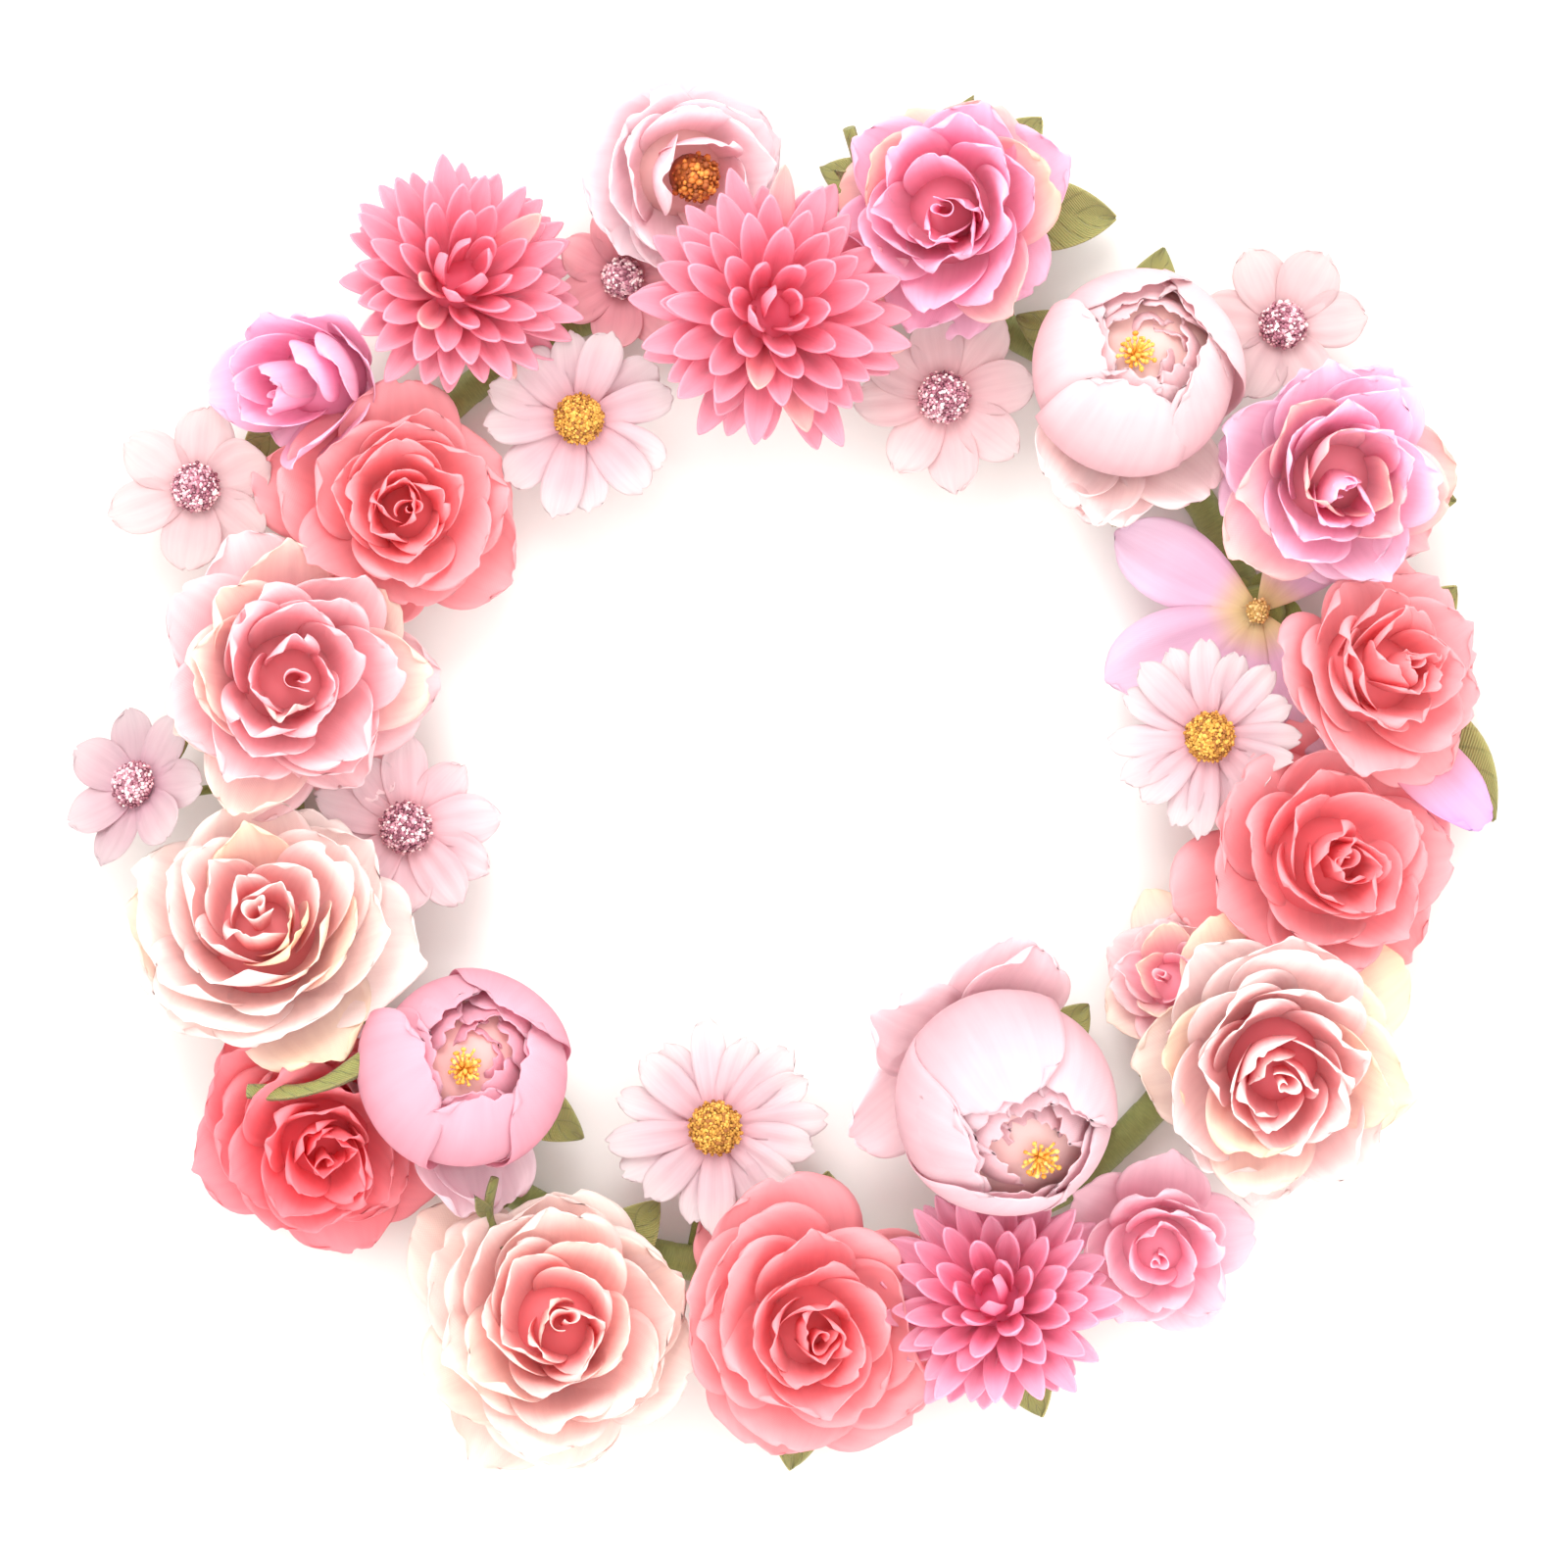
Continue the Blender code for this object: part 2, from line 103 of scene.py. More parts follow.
def makeStudio():
    scene.view_settings.view_transform = "Standard"
    scene.cycles.diffuse_bounces = light["bounces"]    # light that has gone through petals still arrives
    world = bpy.data.worlds.new("studio")
    world.use_nodes = True
    sky = world.node_tree.nodes["Background"]
    sky.inputs["Color"].default_value = light["worldColour"]
    sky.inputs["Strength"].default_value = light["world"]
    scene.world = world
    areaLight("key", light["key"], light["keySize"], light["keyPlace"])
    areaLight("fill", light["fill"], light["fillSize"], light["fillPlace"])

    corners = np.array([(-1, -1, 0), (1, -1, 0), (1, 1, 0), (-1, 1, 0)]) * floorCard["reach"]
    mesh = bpy.data.meshes.new("floor")
    mesh.from_pydata(corners.tolist(), [], [(0, 1, 2, 3)])
    mesh.materials.append(floorPaper())
    floor = bpy.data.objects.new("floor", mesh)
    floor.location.z = -floorCard["below"] * mm
    scene.collection.objects.link(floor)


# linear colour from a web colour: ((c + 0.055) / 1.055) ^ 2.4 above 0.04045, else c / 12.92
def srgb(text, alpha=1.0):
    values = np.array([int(text[i:i + 2], 16) / 255 for i in (1, 3, 5)])
    linear = np.where(values > 0.04045, ((values + 0.055) / 1.055) ** 2.4, values / 12.92)
    return (*linear.tolist(), alpha)


white, black = (1.0, 1.0, 1.0, 1.0), (0.0, 0.0, 0.0, 1.0)


# A small wrapper that adds nodes to a material and links them in one line each
class Graph:

    def __init__(self, name):
        self.material = bpy.data.materials.new(name)
        self.material.use_nodes = True
        self.tree = self.material.node_tree
        self.shader = self.tree.nodes["Principled BSDF"]

    def add(self, kind, links=None, **settings):
        node = self.tree.nodes.new(kind)
        for key, value in settings.items():
            setattr(node, key, value)
        for socket, value in (links or {}).items():
            self.put(node.inputs[socket], value)
        return node

    def put(self, socket, value):
        if isinstance(value, bpy.types.NodeSocket):
            self.tree.links.new(value, socket)
        else:
            socket.default_value = value

    def math(self, operation, a, b=0.0, clamp=False):
        node = self.add("ShaderNodeMath", {0: a, 1: b}, operation=operation)
        node.use_clamp = clamp
        return node.outputs[0]

    def times(self, a, b):
        return self.math("MULTIPLY", a, b)

    def mix(self, factor, a, b, blend="MIX"):
        node = self.add("ShaderNodeMix", data_type="RGBA", blend_type=blend)
        for index, value in ((0, factor), (6, a), (7, b)):
            self.put(node.inputs[index], value)
        return node.outputs[2]

    def ramp(self, factor, stops, interpolation="LINEAR"):
        node = self.add("ShaderNodeValToRGB", {0: factor})
        node.color_ramp.interpolation = interpolation
        while len(node.color_ramp.elements) < len(stops):
            node.color_ramp.elements.new(0.5)
        for element, (place, colour) in zip(node.color_ramp.elements, stops):
            element.position = place
            element.color = colour
        return node.outputs[0]

    def uv(self):
        node = self.add("ShaderNodeUVMap", uv_map="petal")
        return self.add("ShaderNodeSeparateXYZ", {0: node.outputs[0]}).outputs

    def attribute(self, name):
        return self.add("ShaderNodeAttribute", attribute_name=name).outputs["Fac"]

    def combine(self, x, y, z=0.0):
        return self.add("ShaderNodeCombineXYZ", {0: x, 1: y, 2: z}).outputs[0]

    def noise(self, vector, scale, detail=2.0, roughness=0.5):
        links = {"Vector": vector, "Scale": scale, "Detail": detail, "Roughness": roughness}
        return self.add("ShaderNodeTexNoise", links).outputs[0]

    def objectPlace(self):
        return self.add("ShaderNodeTexCoord").outputs["Object"]

    def bump(self, height, distance, strength=1.0, normal=None):
        links = {"Height": height, "Distance": distance, "Strength": strength}
        if normal is not None:
            links["Normal"] = normal
        return self.add("ShaderNodeBump", links).outputs[0]

    # a share of the light goes through the cloth and comes out scattered on the other side
    def lightThrough(self, share, colour):
        through = self.add("ShaderNodeBsdfTranslucent", {"Color": colour})
        both = self.add("ShaderNodeMixShader", {0: share, 1: self.shader.outputs[0], 2: through.outputs[0]})
        self.tree.links.new(both.outputs[0], self.tree.nodes["Material Output"].inputs["Surface"])

    def finish(self, colour, **sockets):
        self.put(self.shader.inputs["Base Color"], colour)
        for name, value in sockets.items():
            self.put(self.shader.inputs[name.replace("_", " ")], value)
        return self.material


# white card: a faint mottle only
def floorPaper():
    g = Graph("floor_card")
    mottle = g.noise(g.objectPlace(), 9.0, 3.0)
    colour = g.ramp(mottle, [(0.3, srgb("#DAD7D4")), (0.7, srgb("#DDDBD8"))], "EASE")
    return g.finish(colour, Roughness=0.9)


cloth = {
    "roughness": 0.74,
    "sheen": 0.04,
    "through": 0.5,         # light that passes each face of a petal
    "veinDepth": 0.00010,
    "weaveDepth": 0.00003,
}


# stiffened dyed cloth. The dye runs from root to edge, and deepens with layer^1.6 towards the heart of
# the flower. The accent dye comes in as v^2 along a petal.
def petalCloth(name, colours, rootReach):
    g = Graph(name)
    u, v, _ = g.uv()
    layer, shade, accent = (g.attribute(key) for key in ("layer", "shade", "accent"))

    root, body, edge, heart, *accents = (srgb(colour) for colour in colours.split())
    outer = g.ramp(v, [(0.05, root), (rootReach, body), (0.92, edge)], "EASE")
    inner = g.ramp(v, [(0.1, heart), (0.62, root), (1.0, body)], "EASE")
    deep = g.math("POWER", layer, 1.6, clamp=True)
    dyed = g.mix(deep, outer, inner)

    accentReach = g.math("MULTIPLY", accent, g.math("POWER", v, 2.0), clamp=True)
    dyed = g.mix(accentReach, dyed, accents[0] if accents else edge)

    # streaks that fan along the petal, and a slow cloudiness over the whole flower
    fan = g.combine(g.times(u, 13.0), g.times(v, 1.3), g.times(shade, 40.0))
    streaks = g.noise(fan, 1.0, 3.0, 0.6)
    clouds = g.noise(g.objectPlace(), 95.0, 2.0)
    dusty = (0.93, 0.90, 0.91, 1)
    for value, low, high, dull, share in (
        (streaks, 0.3, 0.62, (0.90, 0.86, 0.88, 1), 0.55), (clouds, 0.35, 0.65, dusty, 0.6),
        (shade, 0.0, 1.0, dusty, 1.0),
    ):
        dyed = g.mix(share, dyed, g.ramp(value, [(low, dull), (high, white)]), "MULTIPLY")

    threadsAcross = g.math("SINE", g.times(u, 260.0))
    threadsAlong = g.math("SINE", g.times(v, 300.0))
    weave = g.times(threadsAcross, threadsAlong)
    normal = g.bump(streaks, cloth["veinDepth"], 0.8)
    normal = g.bump(weave, cloth["weaveDepth"], 0.5, normal)
    rough = g.math("ADD", g.times(streaks, 0.16), cloth["roughness"] - 0.08)
    g.shader.inputs["Specular IOR Level"].default_value = 0.22
    g.lightThrough(cloth["through"], dyed)
    return g.finish(dyed, Normal=normal, Roughness=rough, Sheen_Weight=cloth["sheen"])


# quads of several grids laid one after another: (i, j), (i, j+1), (i+1, j+1), (i+1, j)
def gridFaces(count, rows, columns, wrap=False):
    across = columns if wrap else columns - 1
    i, j = np.meshgrid(np.arange(rows - 1), np.arange(across), indexing="ij")
    right = (j + 1) % columns
    low, high = i * columns, (i + 1) * columns
    one = np.stack([low + j, low + right, high + right, high + j], -1)
    start = np.arange(count)[:, None, None] * rows * columns
    return (one.reshape(1, -1, 4) + start).reshape(-1, 4)


# one object from sheets, each a dictionary of points (n, rows, columns, 3), uv and per-sheet values
def makePiece(name, sheets, material, thickness=0.0, node=None, slotName=None):
    points, uvs, faces = [], [], []
    values = {"layer": [], "shade": [], "accent": []}
    total = 0
    for sheet in sheets:
        grid = sheet["points"]
        count, rows, columns = grid.shape[:3]
        points.append(grid.reshape(-1, 3))
        uvs.append(np.broadcast_to(sheet["uv"], (count, rows, columns, 2)).reshape(-1, 2))
        for key in values:
            each = np.asarray(sheet.get(key, 0.5), float).reshape(-1, 1)
            values[key].append(np.broadcast_to(each, (count, rows * columns)).reshape(-1))
        faces.append(gridFaces(count, rows, columns, sheet.get("wrap", False)) + total)
        total += count * rows * columns
    points, uvs, faces = (np.concatenate(part) for part in (points, uvs, faces))

    mesh = bpy.data.meshes.new(name)
    mesh.vertices.add(len(points))
    mesh.vertices.foreach_set("co", points.astype(np.float32).ravel())
    mesh.loops.add(faces.size)
    mesh.loops.foreach_set("vertex_index", faces.astype(np.int32).ravel())
    mesh.polygons.add(len(faces))
    mesh.polygons.foreach_set("loop_start", np.arange(0, faces.size, 4, dtype=np.int32))
    layer = mesh.uv_layers.new(name="petal")
    layer.data.foreach_set("uv", uvs[faces.ravel()].astype(np.float32).ravel())
    for key, parts in values.items():
        spot = mesh.attributes.new(key, "FLOAT", "POINT")
        spot.data.foreach_set("value", np.concatenate(parts).astype(np.float32))
    mesh.update()
    mesh.validate()
    mesh.polygons.foreach_set("use_smooth", np.ones(len(mesh.polygons), bool))
    mesh.materials.append(material)
    piece = bpy.data.objects.new(name, mesh)
    scene.collection.objects.link(piece)
    if thickness:
        wall = piece.modifiers.new("cloth", "SOLIDIFY")
        wall.thickness = thickness
        wall.offset = 0
    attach(piece, "root")
    if node:
        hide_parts(node)


quadrature = np.polynomial.legendre.leggauss(6)
poleRadius = 1e-6
lipStart = 0.62         # where the tip begins to roll, along the petal


def slopeAt(along, chord, bow, lip):
    beyond = np.clip((along - lipStart) / (1 - lipStart), 0, 1.3)
    return chord + bow - 2 * bow * along + lip * beyond**2


# All the petals of a flower at once: shape holds arrays with one value a petal. Each petal is a sheet over
# u, across from -1 to 1, and v, along from 0 to 1, with its rows gathered towards the tip.
#   half width = width / 2 * (neck + (1 - neck) sin(pi / 2 min(v / widest, 1))^full)
#                * (1 - taper (1 - (1 - past^2)^blunt)), past = how far v is beyond widest, from 0 to 1
#   along = v (1 - round u^2 v) + jag v^6 teeth(u) - notch v^6 bell(u): a rounded, torn or notched tip
#   slope from the axis = chord + bow (1 - 2 along) + lip beyond^2
#   radius, height = root + length * integral of (sin slope, cos slope) over along
#   wrap bends the width round the axis: sideways = half sin(around u) / around
#   lifted off the sheet: cup u^2, ruffle and groove waves, tuck u, fold |u|, less roll |u|^3
#   sweep moves the tip sideways by along^2
def petals(shape, rows=13, columns=13):
    p = {key: np.asarray(value, float)[:, None, None] for key, value in shape.items()}
    u = np.linspace(-1, 1, columns)[None, None, :]
    v = (1 - (1 - np.linspace(0, 1, rows)) ** 1.5)[None, :, None]

    outwards, upwards, bow, lip = p["tipR"] - p["rootR"], p["tipZ"] - p["rootZ"], p["bow"], p["lip"]
    chord = np.arctan2(outwards, upwards)
    straight = np.abs(bow) < 1e-3
    length = np.hypot(outwards, upwards) * np.where(straight, 1.0, bow / np.sin(np.where(straight, 1.0, bow)))

    past = np.clip((v - p["widest"]) / (1 - p["widest"] + 1e-6), 0, 1)
    swell = np.sin(np.pi / 2 * np.clip(v / p["widest"], 0, 1)) ** p["full"]
    half = p["width"] / 2 * (p["neck"] + (1 - p["neck"]) * swell)
    half = half * (1 - p["taper"] * (1 - (1 - past**2) ** p["blunt"]))

    teeth = np.sin(u * p["teeth"] + p["phase"]) + 0.5 * np.sin(2.3 * u * p["teeth"] + 2 * p["phase"])
    along = v * (1 - p["round"] * u**2 * v) + p["jag"] * v**6 * teeth
    along = along - p["notch"] * v**6 * np.exp(-((u - 0.25 * np.sin(p["phase"])) ** 2) / 0.05)
    nodes, weights = quadrature
    steps = along[..., None] * (nodes + 1) / 2
    slope = slopeAt(steps, chord[..., None], bow[..., None], lip[..., None])
    tilt = slopeAt(along, chord, bow, lip)
    radius = p["rootR"] + (np.sin(slope) * weights).sum(-1) * along / 2 * length
    height = p["rootZ"] + (np.cos(slope) * weights).sum(-1) * along / 2 * length

    around = np.clip(p["wrap"] * half / np.maximum(radius, 1e-4), 1e-3, 1.5)
    sideways = half * np.sin(around * u) / around
    inwards = half * (1 - np.cos(around * u)) / around
    hollow = p["cup"] * half * u**2 * np.sin(np.pi * np.clip(along, 0, 1) ** 1.2)
    wave = np.sin(p["waves"] * u + p["phase"]) * np.abs(u) ** 1.2
    wave = wave + 0.6 * np.sin(p["waves"] * 0.7 * u + 3 * p["phase"]) * along
    wave = p["ruffle"] * wave * along**2.5
    crease = 0.35 * p["ruffle"] * np.sin(5 * along + 2.2 * u + 5 * p["phase"]) * along
    crease = crease + p["groove"] * np.cos(p["grooves"] * np.pi * u) * np.sin(np.pi * np.clip(along, 0, 1))
    lift = hollow - wave - crease + p["tuck"] * u * along
    lift = lift + p["fold"] * half * np.abs(u) - p["roll"] * half * np.abs(u) ** 3 * along**2

    radius = radius - inwards - lift * np.cos(tilt)
    height = height + lift * np.sin(tilt)
    sideways = sideways + p["sweep"] * along**2 * length

    turn = p["turn"]
    x = radius * np.cos(turn) - sideways * np.sin(turn)
    y = radius * np.sin(turn) + sideways * np.cos(turn)
    uv = np.stack(np.broadcast_arrays((u + 1) / 2, v), -1)
    return {"points": np.stack([x, y, height], -1), "uv": uv}


plain = {  # a petal's values where a flower doesn't say otherwise
    "neck": 0.25, "full": 0.8, "widest": 0.72, "taper": 0.28, "round": 0.2, "jag": 0.0, "teeth": 9.0,
    "bow": 0.4, "lip": 0.3, "wrap": 0.4, "cup": 0.1, "ruffle": 0.0, "waves": 5.0, "groove": 0.0,
    "grooves": 3.0, "fold": 0.0, "blunt": 0.5, "notch": 0.0, "roll": 0.0, "tuck": 0.0, "sweep": 0.0,
}


# each value of a petal as an array with one entry a petal
def petalShape(count, **values):
    filled = {**plain, **values}
    return {key: np.broadcast_to(np.asarray(value, float), count) for key, value in filled.items()}


# A ring of alike petals, evenly turned, each a little different
def petalRing(
    count, rng, jitter=0.06, start=None, span=2 * np.pi, rows=13, columns=13, layer=0.5, accent=0.5, **values,
):
    spread = 1 + jitter * rng.uniform(-1, 1, (6, count))
    start = rng.uniform(0, 2 * np.pi) if start is None else start
    shape = petalShape(count, **values)
    shape["turn"] = start + span * (np.arange(count) + 1.6 * jitter * rng.uniform(-1, 1, count)) / count
    shape["phase"] = rng.uniform(0, 2 * np.pi, count)
    for row, key in zip(spread, ("tipR", "width", "bow", "lip", "ruffle")):
        shape[key] = shape[key] * row
    shape["tipZ"] = shape["tipZ"] + shape["tipR"] * (spread[5] - 1)
    shade = rng.uniform(0, 1, count)
    return {**petals(shape, rows, columns), "shade": shade, "layer": layer, "accent": accent}


# points at a radius and angle about the Z axis
def polar(radius, angle, height):
    return np.stack(np.broadcast_arrays(radius * np.cos(angle), radius * np.sin(angle), height), -1)


# golden-angle spiral: how far through it each item is, from 0 to 1, and its angle
def spiral(count):
    index = np.arange(count)
    return (index + 0.5) / count, golden * index


# a sheet that closes on itself across, with its points at the angles t
def wrapped(points, t):
    uv = np.stack(np.meshgrid(t / (2 * np.pi), np.linspace(0, 1, points.shape[1])), -1)
    return {"points": points, "uv": uv, "wrap": True}


# tubes carried along paths: points = path + radius (cos t * normal + sin t * binormal). Each end comes
# twice, the outer time with no radius, so that the tube is closed
def tubes(paths, radii, sides=8):
    paths = np.asarray(paths, float)
    tangent = np.gradient(paths, axis=1)
    tangent /= np.linalg.norm(tangent, axis=-1, keepdims=True) + 1e-12
    radii = np.broadcast_to(np.asarray(radii, float), paths.shape[:2])
    twice = [0, *range(paths.shape[1]), -1]
    paths, tangent, radii = paths[:, twice], tangent[:, twice], radii[:, twice]
    radii[:, [0, -1]] = poleRadius
    upright = np.where(np.abs(tangent[..., 2:3]) > 0.9, [1.0, 0.0, 0.0], [0.0, 0.0, 1.0])
    upright = np.broadcast_to(upright[:, :1], tangent.shape)
    normal = np.cross(tangent, upright)
    normal /= np.linalg.norm(normal, axis=-1, keepdims=True) + 1e-12
    binormal = np.cross(tangent, normal)
    t = np.linspace(0, 2 * np.pi, sides, endpoint=False)
    ring = np.cos(t)[:, None] * normal[:, :, None, :] + np.sin(t)[:, None] * binormal[:, :, None, :]
    grid = paths[:, :, None, :] + radii[..., None, None] * ring
    return wrapped(grid[:, :, ::-1], t)


# A turned surface about +Z: (r cos t, r sin t, z) for each point (r, z) of the profile, closed at its ends
def turned(profile, sides=16):
    profile = np.asarray(profile, float)
    profile = np.concatenate([[(poleRadius, profile[0, 1])], profile, [(poleRadius, profile[-1, 1])]])
    t = np.linspace(0, 2 * np.pi, sides, endpoint=False)
    r, z = profile[:, :1], profile[:, 1:]
    return wrapped(polar(r, t, z)[None], t)


# many small balls, each knocked a little out of round: place + size (cos a cos t, cos a sin t, sin a)
def beads(places, sizes, rng, rows=5, sides=7):
    a = np.linspace(-np.pi / 2, np.pi / 2, rows)[:, None]
    t = np.linspace(0, 2 * np.pi, sides, endpoint=False)
    ball = polar(np.cos(a), t, np.sin(a))
    ball[0], ball[-1] = (0, 0, -1), (0, 0, 1)
    ball[[0, -1]] += 0.02 * ball[[1, -2]] * [1, 1, 0]
    squash = rng.uniform(0.75, 1.25, (len(places), 1, 1, 3))
    grid = np.asarray(places)[:, None, None] + np.asarray(sizes)[:, None, None, None] * ball * squash
    return {**wrapped(grid, t), "shade": rng.uniform(0, 1, len(places))}


# kind, angle round the hoop, how far outside the wire, height of the middle, width, depth, lean of the
# face and the heading it leans to, spin about its own axis
flowers = {
    "dahlia_upper_left": ("dahlia", 123, 16, 24, 44, 29, 22, 45, 0),
    "open_rose_top": ("openRose", 99, 19, 22, 37, 24, 24, -33, 0),
    "cosmos_small_top": ("cosmos", 108, 4, 13, 26, 6, 8, 250, 0),
    "dahlia_top": ("dahlia", 91, -8, 32, 50, 31, 12, 22, 20),
    "pink_rose_top": ("pinkRose", 74, 15, 27, 43, 33, 8, 200, 0),
    "cosmos_top": ("cosmos", 67, -17, 17, 33, 6, 4, 250, 8),
    "peony_upper_right": ("peony", 49, 5, 29, 41, 39, 22, 59, 0),
    "cosmos_upper_right": ("cosmos", 42, 31, 19, 30, 6, 5, 40, 0),
    "pink_rose_right": ("pinkRose", 28, 22, 27, 43, 32, 10, -47, 40),
    "lilac_right": ("lilac", 19, 0, 15, 50, 7, 6, 180, 0),
    "coral_rose_outer_right": ("coralRose", 10, 20, 26, 40, 28, 28, 20, 0),
    "daisy_right": ("daisy", 5, -14, 22, 35, 6, 4, 180, 0),
    "coral_rose_right": ("coralRose", -9, 9, 23, 47, 27, 14, 0, 30),
    "small_rose_right": ("smallRose", -28, -12, 17, 27, 17, 22, 150, 0),
    "cream_rose_lower_right": ("creamRose", -31, 13, 27, 47, 34, 14, -70, 0),
    "peony_lower_right": ("peony", -56, -20, 30, 45, 42, 27, -58, 0),
    "small_rose_lower_right": ("smallRose", -52, 19, 20, 32, 23, 14, -100, 0),
    "dahlia_bottom": ("dahlia", -68, 11, 25, 43, 29, 18, 117, 0),
    "coral_rose_bottom": ("coralRose", -87, 10, 24, 50, 29, 12, -26, 75),
    "daisy_bottom": ("daisy", -101, -26, 16, 38, 6, 3, 90, 5),
    "cream_rose_bottom": ("creamRose", -112, 16, 25, 49, 31, 12, 50, 15),
    "coral_rose_lower_left": ("coralRose", -141, 17, 21, 44, 26, 20, -60, 50),
    "peony_lower_left": ("peony", -137, -13, 28, 40, 38, 19, 60, 0),
    "cream_rose_left": ("creamRose", -164, 7, 26, 51, 32, 22, 95, 40),
    "cosmos_inner_left": ("cosmos", -172, -22, 15, 33, 6, 4, 0, 12),
    "cosmos_outer_left": ("cosmos", -179, 27, 17, 30, 6, 34, 150, 0),
    "blush_rose_left": ("blushRose", 169, -1, 28, 49, 36, 10, 0, 0),
    "cosmos_upper_left": ("cosmos", 154, 28, 17, 31, 6, 5, 180, 20),
    "bud_rose_upper_left": ("budRose", 141, 21, 23, 33, 31, 30, 205, 0),
    "coral_rose_upper_left": ("coralRose", 145, -8, 25, 42, 29, 8, 0, 20),
    "daisy_upper_left": ("daisy", 120, -17, 19, 35, 6, 4, 300, 10),
}


# the flower's middle and its turning, as numpy arrays
def placeOf(name):
    _, angle, out, rise, _, _, lean, heading, spin = flowers[name]
    turn = math.radians(angle)
    radius = hoopRadius + out * mm
    middle = ringMiddle + polar(radius, turn, rise * mm)
    face = Matrix.Rotation(math.radians(heading), 3, "Z") @ Matrix.Rotation(math.radians(lean), 3, "Y")
    face = face @ Matrix.Rotation(math.radians(spin - heading), 3, "Z")
    return middle, np.array(face)


# puts sheets in their place in the crown: turned, moved, pressed off their neighbours and the table
def settle(name, sheets, press=True):
    middle, face = placeOf(name)
    for sheet in sheets:
        grid = sheet["points"] @ face.T + middle
        if press:
            grid = pressed(name, grid)
        sheet["points"] = grid
    return sheets


crowd = {"core": 0.78, "sharp": 7.0, "near": 0.6, "floor": 0.4, "floorSoft": 2.2}
lowKinds = ("cosmos", "daisy", "lilac")
laidOver = {("dahlia_bottom", "peony_lower_right"), ("daisy_upper_left", "dahlia_top")}


# keeps heights above the lowest, with a soft turn: lowest + soft ln(1 + e^((z - lowest) / soft))
def liftedOff(height, lowest, soft):
    return lowest + soft * np.logaddexp(0, (height - lowest) / soft)


# whether the first flower lies over the second: the higher one does, but for the named pairs
def isOver(upper, lower):
    if (upper, lower) in laidOver or (lower, upper) in laidOver:
        return (upper, lower) in laidOver
    return flowers[upper][3] > flowers[lower][3]


# pushes points out of the cores of the flowers that lie over this one: d -> (1 + d^k)^(1/k). d is the
# distance from a neighbour's middle, in its own half sizes
def pressed(name, grid):
    middle, _ = placeOf(name)
    for other, (kind, _, _, _, width, depth, *_) in flowers.items():
        if other == name or kind in lowKinds or not isOver(other, name):
            continue
        centre, face = placeOf(other)
        if np.linalg.norm(centre - middle) > (width + flowers[name][4]) * mm * crowd["near"]:
            continue
        radii = np.array([width, width, depth]) * mm / 2 * crowd["core"]
        local = (grid - centre) @ face / radii
        far = np.linalg.norm(local, axis=-1, keepdims=True) + 1e-9
        pushed = (1 + far ** crowd["sharp"]) ** (1 / crowd["sharp"])
        grid = centre + (local * pushed / far * radii) @ face.T
    grid[..., 2] = liftedOff(grid[..., 2], crowd["floor"] * mm, crowd["floorSoft"] * mm)
    return grid


